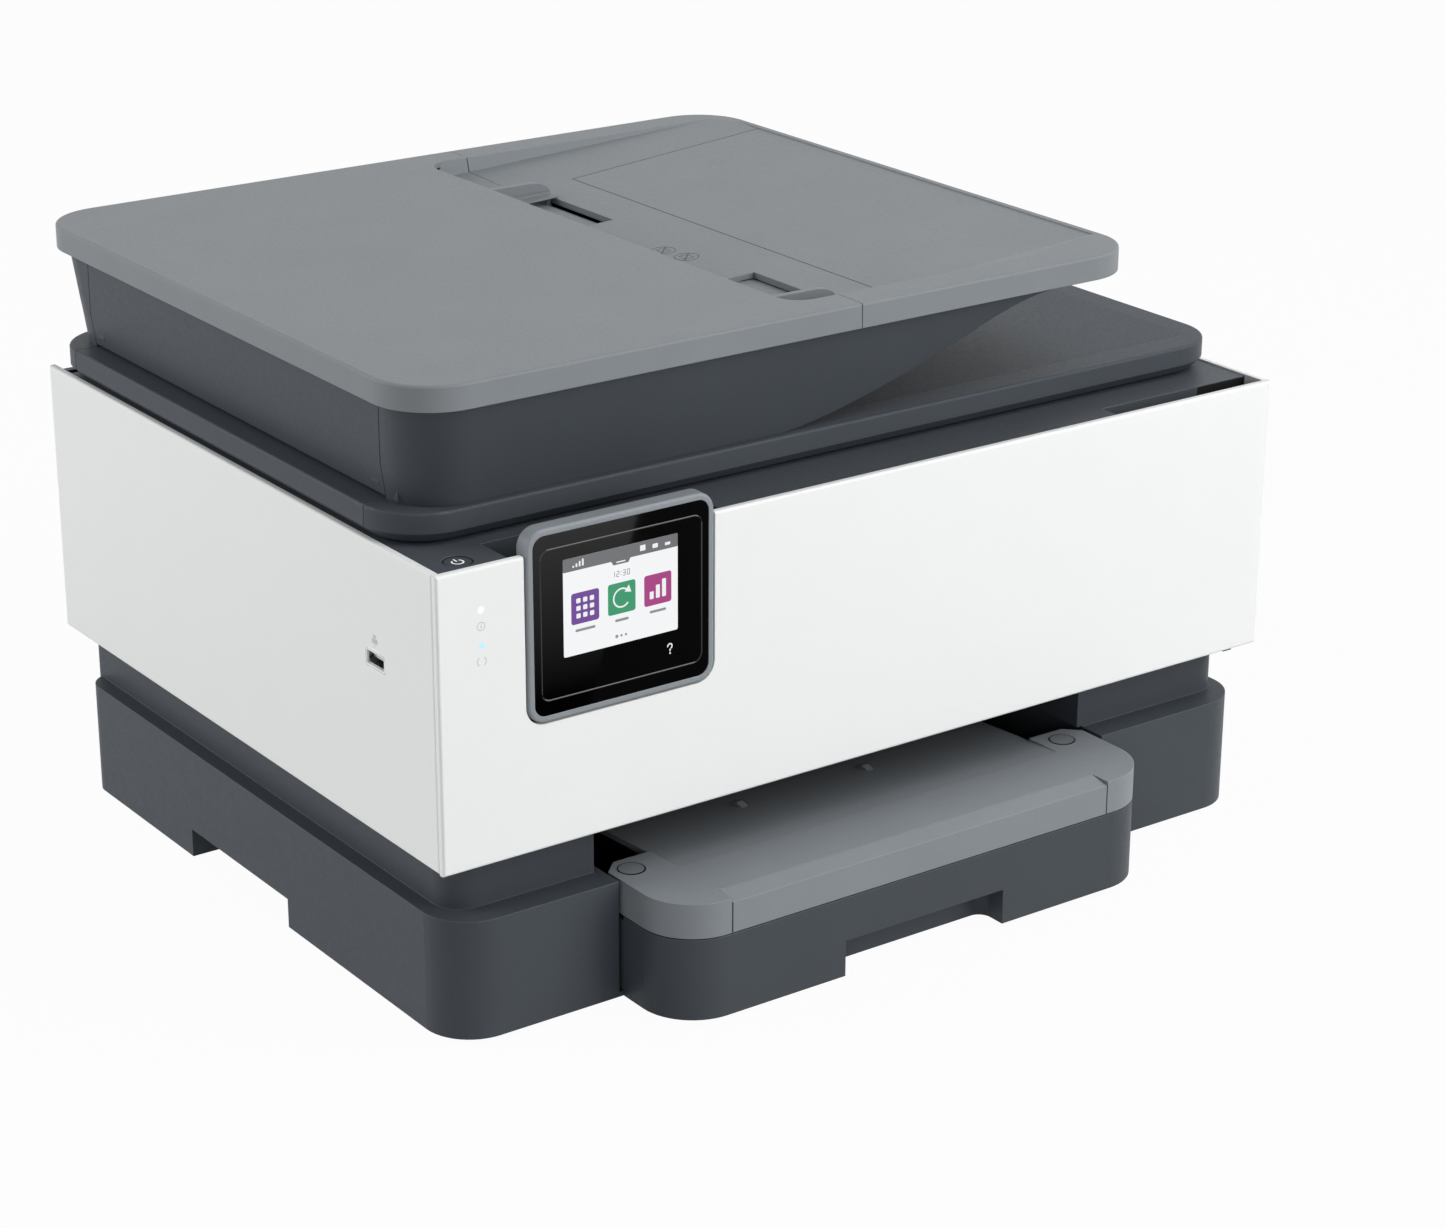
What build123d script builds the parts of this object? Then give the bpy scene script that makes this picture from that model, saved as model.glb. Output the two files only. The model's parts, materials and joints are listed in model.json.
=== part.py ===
"""Desktop inkjet all-in-one with a document feeder, built as separate named pieces."""

from build123d import *
import math
import os

os.makedirs("parts", exist_ok=True)

# Overall sizes in mm, front towards -Y, up towards +Z
width = 439.0
body_depth = 342.5
tray_reach = 35.2
height = 278.0
foot_height = 3.3

# Heights of the stacked housings
base_height = 53.0
neck_height = 26.7
band_height = 126.5
lid_height = 13.0
lid_rise = 0.6
cover_height = 10.7
cover_gap = 1.2
rim_height = 0.6

# Fits and walls
wall = 2.5
panel_thick = 3.0
seam_gap = 0.4
seam_depth = 0.7
side_gap = 2.0
slide_gap = 0.4
curve_gap = 0.35
run_fit = 0.05
past = 1.0

# Lower housing
base_front = 4.2
base_left_inset = 5.3
base_right_inset = 0.5
base_back_inset = 11.0
base_bevel = 6.0
base_round = 22.0
back_round = 12.0
neck_left_step = 7.5
neck_right_step = 3.6
neck_back_inset = 0.5
neck_front_step = 13.4
neck_round = 13.0
neck_back_round = 6.0
neck_slot_shift = 3.3
grip_front = 141.4
grip_back = 229.8
grip_height = 13.4
grip_depth = 14.0
foot_radius = 9.0
foot_side = 39.5
foot_front = 39.5
foot_back_inset = 40.5
foot_seat = 1.2

# White band and engine bay
band_back_inset = 5.0
frame_front = 14.7
edge_round = 1.2
bed_height = 27.6
lip_height = 9.4
door_pin_y = 8.0
door_pin_drop = 0.3
door_pin_radius = 1.4
door_lug_radius = 2.6
door_lug_width = 6.0
liner_depth = 6.5
liner_side = 17.0
liner_rise = 12.0
liner_drop = 15.5
bearing_wall_side = 32.0
bearing_wall_thick = 3.0
floor_slot_front = 20.0
floor_slot_back = 100.0

# Control panel
panel_side = 40.7
panel_width = 89.5
panel_height = 81.2
panel_top_rise = 9.7
panel_depth = 7.3
panel_proud = 0.8
panel_round = 8.0
panel_gap = 0.9
glass_rim = 2.7
glass_thick = 1.2
screen_width = 55.1
screen_height = 41.5
screen_drop = 11.7
screen_shift = 1.2
screen_thick = 0.5
panel_pin_y = 5.6
panel_pin_drop = 7.0
panel_pin_radius = 1.5
panel_pin_length = 3.6
panel_ear_thick = 4.0
panel_ear_radius = 2.5
panel_ear_height = 16.0

# Deck
deck_thick = 3.0
notch_reach = 89.0
notch_side = 32.5
notch_back = 14.2
notch_drop = 7.0
grip_pocket_drop = 20.0
bay_back = 23.8
bay_depth = 17.0
bay_side = 5.6
button_side = 17.5
button_y = 12.3
button_radius = 6.1
button_travel = 1.0
button_flange = 1.1
light_side = 19.9
light_radius = 1.3
light_high_drop = 17.6
light_low_drop = 32.4

# Scanner
glass_left = -160.0
glass_right = 150.0
glass_front = 62.0
glass_back_inset = 56.5
platen_glass_thick = 2.4
glass_ledge = 3.0
scan_bar_width = 24.0
scan_bar_height = 9.0
scan_bar_inset = 10.0
scan_rail_radius = 3.0

# Lid and document feeder
lid_side = 0.8
lid_front = 29.0
lid_back_inset = 5.5
lid_round = 27.0
lid_bevel = 4.2
shelf_left = -38.0
shelf_side = 13.5
shelf_depth = 7.0
shelf_bow = 4.3
shelf_front = 43.0
shelf_back_inset = 15.5
backing_thick = 4.0
backing_margin = 6.0
lid_pin_inset = 12.5
lid_pin_rise = 4.2
lid_pin_radius = 3.0
lid_hinge_x = 150.0
lid_hinge_width = 22.0
lid_pin_length = 34.0
lid_lug_radius = 4.6
lid_sweep_gap = 0.6
lid_cut_gap = 0.8
feeder_foot_side = 11.5
feeder_top_side = 5.5
feeder_front_low = 32.5
feeder_front_high = 20.0
feeder_foot_back = 6.0
feeder_top_back = 4.7
feeder_round = 24.0
roof_foot = -30.0
roof_first = (18.0, 12.2)
roof_second = (54.0, 26.2)
roof_third = (89.0, 40.4)
roof_short = 42.0
cover_side = 0.5
cover_short = 65.5
cover_front = 17.0
cover_round = 27.0
cover_seam = -1.8
cover_edge = -25.5
cover_wall = 2.6
end_seam_front = 55.0
end_seam_inset = 32.5
end_seam_lean = 6.8
end_seam_lean_back = 8.8
end_seam_upright = 16.0
end_clear = 10.0
end_pin_inset = 3.5
end_pin_rise = 7.6
end_pin_radius = 2.4
feed_front = 34.0
feed_back_inset = 16.5
feed_surface_start = -18.0
feed_surface_low = 1.6
feed_surface_high = 0.6
feed_surface_end = 150.0
recess_round = 12.0
window_front = 44.6
window_back_inset = 50.5
pad_left = 34.0
pad_right = 154.0
pad_front = 46.5
pad_front_flare = 2.0
pad_back_inset = 58.5
pad_back_flare = 13.0
pad_seam_x = 31.0
pad_seam_depth = 0.8
rim_touch_back = 140.0
rim_touch_front = 100.0
facet_back_run = 2.0
facet_front_run = 11.0
facet_drop = 8.8
tongue_left = -44.0
tongue_drop = 0.9
end_arm_inset = 4.0
end_arm_width = 6.0
end_lug_inset = 3.0
end_lug_width = 5.0
end_lift = 1.5
end_gap = 0.5

# Document guides and pinion
guide_axis_y = 159.0
guide_clear = 24.0
guide_travel = 50.0
guide_left = -30.0
guide_right = 8.0
guide_thick = 2.4
slot_left = -10.8
slot_right = 6.8
rack_thick = 4.0
rack_body = 2.4
rack_past = 9.0
stem_length = 6.0
pinion_module = 0.8
pinion_teeth = 12
pinion_bore = 1.8
rack_tip = 0.5
rack_root = 0.92
pinion_x = -2.0
tooth_backlash = 0.3

# Feeder roller
roller_x = -70.0
roller_rise = 27.0
roller_radius = 10.5
roller_bore = 4.0
roller_width = 46.0
shaft_radius = 3.0
roller_lug = 62.0

# Paper tray
tray_width = 260.0
tray_centre = -1.7
tray_back_inset = 59.5
tray_round = 25.0
tray_seam = 36.6
tray_gap = 0.5
tub_rise = 2.6
tub_wall = 2.0
handle_width = 86.0
handle_shift = -0.7
handle_height = 16.3
handle_depth = 14.0
handle_round = 6.0
ear_back = 22.0
ear_chamfer = 7.0
ear_width = 26.0
output_back = 100.0
output_slope_start = 2.0
output_drop = 6.0
output_thick = 2.6
output_rib_left = -44.0
output_rib_right = 25.0
output_rib_y = 39.0
output_rib_length = 9.0
output_rib_thick = 3.4
output_rib_height = 1.2
bumper_radius = 5.8
bumper_left_inset = 9.7
bumper_right_inset = 14.9
bumper_y = 12.2
bumper_thick = 1.6
flap_left_inset = 27.7
flap_right_inset = 29.7
flap_depth = 9.8
flap_wall = 2.7
flap_drop = 1.7
flap_plate_inset = 12.0
flap_plate_back = 62.0
flap_plate_thick = 3.0
flap_plate_rise = 4.2
paper_room = 21.5
paper_fin_front = 150.0
paper_fin_back = 232.0
paper_fin_height = 26.0
paper_fin_thick = 2.4
paper_foot = 18.0
stop_width = 56.0
stop_y = 0.0

# Print engine
print_level = 112.0
print_left = -122.0
print_right = 118.0
feed_y = 190.0
feed_radius = 8.0
roller_shaft = 4.0
gear_module = 1.4
drive_teeth = 20
idler_teeth = 30
gear_width = 6.0
pressure_angle = 20.0
tooth_root = 1.15
tooth_tip = 0.85
exit_rings = 6
gear_side = 17.5
platen_thick = 5.0
platen_rib = 1.6
platen_ribs = 11
guide_rod_radius = 4.0
guide_rod_y = 206.0
guide_rod_level = 134.0
carriage_side = 91.5
carriage_width = 110.0
carriage_front = 122.0
carriage_back = 196.0
carriage_low = 119.0
carriage_high = 168.0
head_drop = 4.0
cartridge_width = 23.6
cartridge_pitch = 25.6
cartridge_height = 52.0
cartridge_nose = 6.0
cartridge_brow = 4.0
cartridge_lip = 6.0
cartridge_face = 14.0
cartridge_chin = 22.0
clip_half = 12.0
clip_back = 1.5
belt_y = 232.0
belt_level = 150.0
belt_width = 6.0
belt_thick = 1.0
pulley_radius = 6.0
pulley_side = 25.5
pulley_height = 8.0
pulley_shaft = 2.0
pivot_depth = 12.0
motor_radius = 14.0
motor_length = 26.0
strip_height = 8.0

# Boards and supply
board_thick = 1.6
board_length = 73.5
board_margin = 8.0
chip_count = 3
chip_pitch = 22.0
chip_size = 14.0
chip_height = 2.4
chip_level = 110.0
supply_length = 86.0
supply_back_gap = 31.5
supply_top = 44.0

# Rear side and sockets
rear_thick = 4.0
door_half = 128.0
door_low = 14.0
door_high = 86.0
rear_pin_radius = 2.0
rear_pin_inset = 6.0
rear_pin_rise = 5.4
rear_pin_length = 6.0
rear_lug = 7.0
rear_slot = 3.4
rear_rib_count = 7
usb_y = 48.2
usb_z = 159.7
usb_width = 13.2
usb_height = 5.7
usb_depth = 14.0
usb_shell = 0.6
usb_tongue_back = 1.5
inlet_side = 54.5
inlet_z = 30.0
inlet_width = 24.0
inlet_height = 17.0
inlet_depth = 18.0
inlet_pin_radius = 1.2
port_side = 49.5
port_z = 120.0
port_pitch = 30.0
port_size = 15.0
port_depth = 16.0
network_rim = 2.1
data_rim = 3.5

# Levels worked out from the sizes above
step_level = foot_height + base_height
band_low = step_level + neck_height
band_top = band_low + band_height
deck_top = band_top - rim_height
bed_low = deck_top - bed_height
lid_low = band_top + lid_rise
lid_top = lid_low + lid_height
cover_low = height - cover_height
feeder_top = cover_low - cover_gap
left_side = -width / 2
right_side = width / 2
band_depth = body_depth - band_back_inset
frame_half = width / 2 - panel_thick
frame_back = band_depth - rear_thick
base_left = left_side + base_left_inset
base_right = right_side - base_right_inset
base_back = body_depth - base_back_inset
neck_left = base_left + neck_left_step
neck_right = base_right - neck_right_step
neck_front = base_front + neck_front_step
neck_back = band_depth - neck_back_inset
tray_left = tray_centre - tray_width / 2
tray_right = tray_centre + tray_width / 2
tray_back = body_depth - tray_back_inset
pocket_left = tray_left - side_gap
pocket_right = tray_right + side_gap
pocket_back = tray_back + side_gap
neck_slot_left = pocket_left - neck_slot_shift
neck_slot_right = pocket_right - neck_slot_shift
tray_top = step_level - slide_gap
pocket_top = step_level + slide_gap
seam_level = foot_height + tray_seam
centre_shift = (tray_reach - body_depth) / 2
exit_y = feed_y - gear_module * (drive_teeth + idler_teeth)
idler_y = (feed_y + exit_y) / 2
motor_low = belt_level - motor_length - belt_width
motor_top = motor_low + motor_length
pivot_low = motor_top - pivot_depth
axle_z = print_level - feed_radius + slide_gap
floor_level = band_low + wall
door_pin_z = band_low - door_pin_drop
lid_back = body_depth - lid_back_inset
lid_pin_y = body_depth - lid_pin_inset
lid_pin_z = lid_low + lid_pin_rise
lid_sweep = lid_back - lid_pin_y + lid_sweep_gap
panel_left = left_side + panel_side
panel_right = panel_left + panel_width
panel_top = band_top + panel_top_rise
panel_low = panel_top - panel_height
panel_front = -panel_proud
panel_back = panel_front + panel_depth
panel_pin_z = band_top - panel_pin_drop
pinion_pitch = pinion_module * pinion_teeth / 2
plate_low = cover_low - tongue_drop
rack_top = plate_low - slide_gap
rack_low = rack_top - rack_thick
end_pin_z = lid_top + end_pin_rise
bearing_wall_x = right_side - bearing_wall_side
gear_x = left_side + gear_side
carriage_x = right_side - carriage_side
pulley_x = right_side - pulley_side
board_back = frame_back - board_margin
board_front = board_back - board_length
supply_back = base_back - supply_back_gap
supply_front = supply_back - supply_length
inlet_x = right_side - inlet_side
port_x = left_side + port_side
rear_pin_y = band_depth - rear_pin_inset
notch_left = right_side - notch_reach
notch_right = right_side - notch_side
button_x = left_side + button_side
light_x = left_side + light_side
glass_back = body_depth - glass_back_inset
scan_rail_y = (glass_front + glass_back) / 2
shelf_right = right_side - shelf_side
shelf_back = body_depth - shelf_back_inset
feeder_left_low = left_side + feeder_foot_side
feeder_left_high = left_side + feeder_top_side
feeder_back_low = body_depth - feeder_foot_back
feeder_back_high = body_depth - feeder_top_back
cover_left = left_side + cover_side
cover_right = right_side - cover_short
roof_end = cover_right - roof_short
end_seam_back = body_depth - end_seam_inset
end_pin_x = feeder_left_low + end_pin_inset
feed_back = body_depth - feed_back_inset
window_back = body_depth - window_back_inset
pad_back = body_depth - pad_back_inset
guide_half = window_back - guide_axis_y - guide_clear
bumper_left = tray_left + bumper_left_inset
bumper_right = tray_right - bumper_right_inset
flap_left = tray_left + flap_left_inset
flap_right = tray_right - flap_right_inset
handle_centre = tray_centre + handle_shift
paper_half = tray_width / 2 - paper_room


def block(x0, x1, y0, y1, z0, z1):
    """A box between two corners."""
    return Pos((x0 + x1) / 2, (y0 + y1) / 2, (z0 + z1) / 2) * Box(x1 - x0, y1 - y0, z1 - z0)


def outline(x0, x1, y0, y1, z, radius):
    """A rounded rectangle lying at one height."""
    return Pos((x0 + x1) / 2, (y0 + y1) / 2, z) * RectangleRounded(x1 - x0, y1 - y0, radius)


def slab(x0, x1, y0, y1, z0, z1, radius):
    """A plate with rounded upright corners."""
    return extrude(outline(x0, x1, y0, y1, z0, radius), amount=z1 - z0, dir=(0, 0, 1))


def rod_x(x0, x1, y, z, radius):
    """A round bar along X."""
    return Pos((x0 + x1) / 2, y, z) * Rot(0, 90, 0) * Cylinder(radius, x1 - x0)


def rod_y(x, y0, y1, z, radius):
    """A round bar along Y."""
    return Pos(x, (y0 + y1) / 2, z) * Rot(90, 0, 0) * Cylinder(radius, y1 - y0)


def rod_z(x, y, z0, z1, radius):
    """A round bar along Z."""
    return Pos(x, y, (z0 + z1) / 2) * Cylinder(radius, z1 - z0)


def along_y(points, y0, y1):
    """A prism along Y over a closed XZ polygon."""
    face = make_face(Polyline(*[(x, y0, z) for x, z in points], close=True))
    return extrude(face, amount=y1 - y0, dir=(0, 1, 0))


def along_x(points, x0, x1):
    """A prism along X over a closed YZ polygon."""
    face = make_face(Polyline(*[(x0, y, z) for y, z in points], close=True))
    return extrude(face, amount=x1 - x0, dir=(1, 0, 0))


def upright_round(shape, radius, low_y, high_y):
    """Round the upright outer edges whose Y lies in a range."""
    picked = shape.edges().filter_by(Axis.Z).filter_by(lambda e: low_y < e.center().Y < high_y)
    return fillet(picked, radius)


def tooth_points(teeth, module):
    """Outline of a spur gear with involute flanks and side play."""
    pitch = module * teeth / 2
    base = pitch * math.cos(math.radians(pressure_angle))
    root = pitch - tooth_root * module
    tip = pitch + tooth_tip * module
    roll = math.sqrt((pitch / base) ** 2 - 1)
    half = (math.pi * module / 2 - tooth_backlash) / (2 * pitch) + roll - math.atan(roll)
    steps = [max(base, root), (pitch + max(base, root)) / 2, pitch, tip]
    flank = []
    for radius in steps:
        turn = math.sqrt(max((radius / base) ** 2 - 1, 0))
        flank.append((radius, half - (turn - math.atan(turn))))
    if root < base:
        flank.insert(0, (root, half))
    points = []
    for tooth in range(teeth):
        middle = 2 * math.pi * tooth / teeth
        for radius, angle in flank:
            points.append((radius * math.cos(middle - angle), radius * math.sin(middle - angle)))
        for radius, angle in reversed(flank):
            points.append((radius * math.cos(middle + angle), radius * math.sin(middle + angle)))
    return points


def gear(teeth, module, thickness, bore, turn):
    """A spur gear round Z, standing on Z = 0."""
    face = make_face(Polyline(*tooth_points(teeth, module), close=True))
    body = Rot(0, 0, turn) * extrude(face, amount=thickness, dir=(0, 0, 1))
    return body - Pos(0, 0, thickness / 2) * Cylinder(bore, thickness * 2)


def pane(x0, x1, z0, z1, y0, y1, radius):
    """An upright plate with rounded corners, seen from the front."""
    plane = Plane(((x0 + x1) / 2, y0, (z0 + z1) / 2), x_dir=(1, 0, 0), z_dir=(0, -1, 0))
    return extrude(plane * RectangleRounded(x1 - x0, z1 - z0, radius), amount=y1 - y0, dir=(0, 1, 0))


def save(name, shape):
    """Write one piece, set about the middle of the floor area."""
    export_step(Pos(0, centre_shift, 0) * shape, f"parts/{name}.step")


# Lower housing: a low tub, a set-back neck and the tray bay
base = block(base_left, base_right, base_front, base_back, foot_height, step_level)
base = upright_round(base, base_round, 0, base_front + past)
base = upright_round(base, back_round, base_back - past, base_back + past)
bevel_view = [(base_back - base_bevel, 0), (base_back - base_bevel, foot_height),
              (base_back, foot_height + base_bevel), (body_depth, foot_height + base_bevel), (body_depth, 0)]
base -= along_x(bevel_view, left_side, right_side)
neck = block(neck_left, neck_right, neck_front, neck_back, step_level - wall, band_low)
neck = upright_round(neck, neck_round, 0, neck_front + past)
neck = upright_round(neck, neck_back_round, neck_back - past, neck_back + past)
tub = block(base_left + wall, base_right - wall, base_front + wall, base_back - base_bevel - wall,
            foot_height + wall, step_level - wall)
tub = upright_round(tub, base_round - wall, 0, base_front + wall + past)
throat = block(neck_left + wall, neck_right - wall, neck_front + wall, base_back - base_bevel - wall,
               step_level - 2 * wall, band_low + wall)
throat = upright_round(throat, neck_round - wall, 0, neck_front + wall + past)
bays = block(left_side, pocket_left - wall, 0, base_back, foot_height, band_low + wall)
bays += block(pocket_right + wall, right_side, 0, base_back, foot_height, band_low + wall)
base_housing = base + neck - ((tub + throat) & bays)
base_housing -= block(pocket_left, pocket_right, 0, pocket_back, foot_height + wall - slide_gap, pocket_top)
base_housing -= block(neck_slot_left, neck_slot_right, 0, pocket_back, step_level, band_low + wall)
grip_top = foot_height + grip_height
for grip_x0, grip_x1 in ((base_left, base_left + grip_depth), (base_right - grip_depth, base_right)):
    grip_in = block(grip_x0 - wall, grip_x1 + wall, grip_front - wall, grip_back + wall,
                    foot_height, grip_top + wall)
    base_housing += grip_in & base
    base_housing -= block(grip_x0, grip_x1, grip_front, grip_back, 0, grip_top)
inlet_ends = (inlet_x - inlet_width / 2, inlet_x + inlet_width / 2)
inlet_levels = (inlet_z - inlet_height / 2, inlet_z + inlet_height / 2)
base_housing -= block(*inlet_ends, base_back - inlet_depth, base_back, *inlet_levels)
foot_spots = [(x, y) for x in (left_side + foot_side, right_side - foot_side)
              for y in (foot_front, base_back - foot_back_inset)]
feet = Part()
for x, y in foot_spots:
    base_housing -= rod_z(x, y, 0, foot_height + foot_seat, foot_radius + curve_gap)
    feet += rod_z(x, y, 0, foot_height + foot_seat, foot_radius)
save("base_housing", base_housing)
save("rubber_feet", feet)

# Engine frame: floor, end walls, bearing walls and door lugs
frame = block(-frame_half, frame_half, frame_front, frame_back, band_low, bed_low)
frame -= block(-frame_half + wall, frame_half - wall, 0, body_depth, floor_level, bed_low + wall)
frame -= block(neck_slot_left + wall, neck_slot_right - wall, floor_slot_front, floor_slot_back, 0, bed_low)
lug_near = frame_half - wall - door_lug_width - slide_gap
post_top = guide_rod_level + 3 * guide_rod_radius
for side in (-1, 1):
    lug_x = side * (lug_near + door_lug_width / 2)
    lug_ends = (lug_x - door_lug_width / 2, lug_x + door_lug_width / 2)
    frame += rod_x(*lug_ends, door_pin_y, door_pin_z, door_lug_radius)
    frame += block(*lug_ends, door_pin_y, frame_front + 2 * wall, door_pin_z, door_pin_z + door_lug_radius)
    frame -= rod_x(lug_ends[0] - past, lug_ends[1] + past, door_pin_y, door_pin_z, door_pin_radius + run_fit)
    wall_x = side * (bearing_wall_x + bearing_wall_thick / 2)
    frame += block(wall_x - bearing_wall_thick / 2, wall_x + bearing_wall_thick / 2, exit_y - 2 * feed_radius,
                   guide_rod_y + 3 * guide_rod_radius, band_low, post_top)
frame += rod_z(-pulley_x, belt_y, band_low, motor_low, motor_radius)
frame += rod_z(pulley_x, belt_y, band_low, motor_top, pulley_radius)
frame -= rod_z(pulley_x, belt_y, pivot_low, motor_top + past, pulley_shaft + run_fit)
idler_reach = gear_x - slide_gap
frame += rod_x(idler_reach, -bearing_wall_x, idler_y, axle_z, shaft_radius)
frame -= block(gear_x - gear_width / 2, gear_x + gear_width * 1.5, exit_y, feed_y, 0, floor_level)
for y in (feed_y, exit_y):
    frame -= rod_x(-bearing_wall_x - 2 * wall, bearing_wall_x + 2 * wall, y, axle_z, roller_shaft + run_fit)
frame -= rod_x(-bearing_wall_x - 2 * wall, bearing_wall_x + 2 * wall, guide_rod_y, guide_rod_level,
               guide_rod_radius + run_fit)
frame -= block(-width, -frame_half + 2 * wall, usb_y - usb_width / 2, usb_y + usb_width / 2,
               usb_z - usb_height / 2, usb_z + usb_height / 2)
save("engine_frame", frame)
rod_half = bearing_wall_x + bearing_wall_thick
save("guide_rod", rod_x(-rod_half, rod_half, guide_rod_y, guide_rod_level, guide_rod_radius))
strip_y = guide_rod_y + 2 * guide_rod_radius
save("encoder_strip", block(-bearing_wall_x, bearing_wall_x, strip_y, strip_y + slide_gap,
                            post_top - strip_height - past, post_top - past))

# Print path: platen, feed and exit rollers, gear train
platen_front = exit_y + feed_radius + slide_gap
platen_back = feed_y - feed_radius - slide_gap
platen = block(print_left, print_right, platen_front, platen_back, floor_level, print_level - platen_rib)
platen -= block(print_left - past, print_right + past, platen_front + wall, platen_back - wall,
                floor_level - past, print_level - platen_rib - platen_thick)
rib_step = (print_right - print_left - 2 * wall) / (platen_ribs - 1)
for rib in range(platen_ribs):
    rib_x = print_left + wall + rib * rib_step
    platen += block(rib_x - platen_rib / 2, rib_x + platen_rib / 2, platen_front, platen_back,
                    print_level - platen_thick, print_level)
save("platen", platen)
shaft_left = gear_x - slide_gap
shaft_right = bearing_wall_x + bearing_wall_thick + wall
drive_turn = 180 / drive_teeth


def drive_gear(teeth, bore, turn, y):
    """A gear of the print drive, set round an axis along X."""
    return Pos(gear_x, y, axle_z) * Rot(0, 90, 0) * gear(teeth, gear_module, gear_width, bore, turn)


feed_roller = rod_x(shaft_left, shaft_right, feed_y, axle_z, roller_shaft)
feed_roller += rod_x(print_left, print_right, feed_y, axle_z, feed_radius)
feed_roller += drive_gear(drive_teeth, roller_shaft / 2, drive_turn, feed_y)
save("feed_roller", feed_roller)
exit_roller = rod_x(shaft_left, shaft_right, exit_y, axle_z, roller_shaft)
exit_roller += drive_gear(drive_teeth, roller_shaft / 2, drive_turn, exit_y)
ring_step = (print_right - print_left) / exit_rings
for ring in range(exit_rings):
    ring_x = print_left + (ring + 0.5) * ring_step
    exit_roller += rod_x(ring_x - ring_step / 4, ring_x + ring_step / 4, exit_y, axle_z, feed_radius)
save("exit_roller", exit_roller)
idler_turn = 180 / idler_teeth
save("idler_gear", drive_gear(idler_teeth, shaft_radius + run_fit, idler_turn, idler_y))

# Carriage with four cartridges, belt drive and cap station
bay_span = 3 * cartridge_pitch + cartridge_width
carriage_left = carriage_x - carriage_width / 2
carriage_right = carriage_x + carriage_width / 2
carriage = block(carriage_left, carriage_right, carriage_front, carriage_back, carriage_low, carriage_high)
cartridge_low = carriage_low + wall
cartridge_top = cartridge_low + cartridge_height
colours = ("cyan", "magenta", "yellow", "black")
for slot, colour in enumerate(colours):
    slot_x = carriage_x - bay_span / 2 + slot * cartridge_pitch
    carriage -= block(slot_x - slide_gap, slot_x + cartridge_width + slide_gap, carriage_front - past,
                      carriage_back - wall, cartridge_low, carriage_high + past)
    nose = carriage_front - cartridge_nose
    cartridge_back = carriage_back - wall - slide_gap
    cartridge_foot = carriage_front + past
    side_view = [(cartridge_foot, cartridge_low), (cartridge_back, cartridge_low),
                 (cartridge_back, cartridge_top), (nose + cartridge_brow, cartridge_top),
                 (nose, cartridge_top - cartridge_lip),
                 (nose, cartridge_top - cartridge_face), (cartridge_foot, cartridge_top - cartridge_chin)]
    save("cartridge_" + colour, along_x(side_view, slot_x, slot_x + cartridge_width))
carriage += block(carriage_left + 2 * wall, carriage_right - 2 * wall, carriage_front + 4 * wall,
                  carriage_back - 4 * wall, carriage_low - head_drop, carriage_low)
boss_half = 2 * guide_rod_radius - slide_gap
carriage += block(carriage_left + 4 * wall, carriage_right - 4 * wall, carriage_back - wall,
                  guide_rod_y + boss_half, guide_rod_level - boss_half, guide_rod_level + boss_half)
carriage -= rod_x(carriage_left, carriage_right, guide_rod_y, guide_rod_level, guide_rod_radius + run_fit)
strand_inner = belt_y - pulley_radius - curve_gap
strand_outer = strand_inner - belt_thick
clip_low = post_top + slide_gap
clip_high = belt_level + belt_width / 2 + wall
carriage += block(carriage_x - clip_half, carriage_x + clip_half, carriage_back - wall,
                  strand_inner + slide_gap + clip_back, clip_low, clip_high)
carriage -= block(carriage_left, carriage_right, strand_outer - slide_gap, strand_inner + slide_gap,
                  0, belt_level + belt_width / 2 + slide_gap)
save("carriage", carriage)
belt_low = belt_level - belt_width / 2
belt_span = 2 * pulley_x
belt_inner = pulley_radius + curve_gap
loop = Pos(0, belt_y, belt_low) * (SlotCenterToCenter(belt_span, 2 * (belt_inner + belt_thick))
                                   - SlotCenterToCenter(belt_span, 2 * belt_inner))
save("drive_belt", extrude(loop, amount=belt_width, dir=(0, 0, 1)))
for name, side in (("motor_pulley", -1), ("idler_pulley", 1)):
    pulley = rod_z(side * pulley_x, belt_y, belt_low - past, belt_low - past + pulley_height, pulley_radius)
    pulley += rod_z(side * pulley_x, belt_y, pivot_low + slide_gap, belt_low, pulley_shaft)
    save(name, pulley)
motor = rod_z(-pulley_x, belt_y, motor_low, motor_top, motor_radius)
save("carriage_motor", motor - rod_z(-pulley_x, belt_y, pivot_low, motor_top + past, pulley_shaft + run_fit))
station_left = print_right + 2 * wall
station_right = bearing_wall_x - 2 * wall
station = block(station_left, station_right, platen_front + wall, platen_back - wall, floor_level,
                carriage_low - head_drop - past)
station -= slab(station_left + 2 * wall, station_right - 2 * wall, platen_front + 4 * wall,
                platen_back - 4 * wall, print_level - wall, print_level + 4 * wall, 2 * wall)
save("cap_station", station)

# Boards and supply inside the housings
board_left = -frame_half + wall
chip_left = board_left + board_thick
board = block(board_left, chip_left, board_front, board_back, floor_level, bed_low - board_margin)
for chip in range(chip_count):
    chip_y = board_front + board_margin + chip * chip_pitch
    board += block(chip_left, chip_left + chip_height, chip_y, chip_y + chip_size,
                   chip_level, chip_level + chip_size)
save("main_board", board)
supply_left = pocket_right + 4 * wall
supply_right = base_right - grip_depth - 2 * wall
supply_low = foot_height + wall
save("power_supply", block(supply_left, supply_right, supply_front, supply_back, supply_low, supply_top))
inlet_slack = seam_gap / 2
inlet = block(inlet_ends[0] + inlet_slack, inlet_ends[1] - inlet_slack, base_back - inlet_depth, base_back,
              inlet_levels[0] + inlet_slack, inlet_levels[1] - inlet_slack)
inlet -= block(inlet_ends[0] + wall, inlet_ends[1] - wall, base_back - inlet_depth + wall, base_back + past,
               inlet_levels[0] + wall, inlet_levels[1] - wall)
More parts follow.
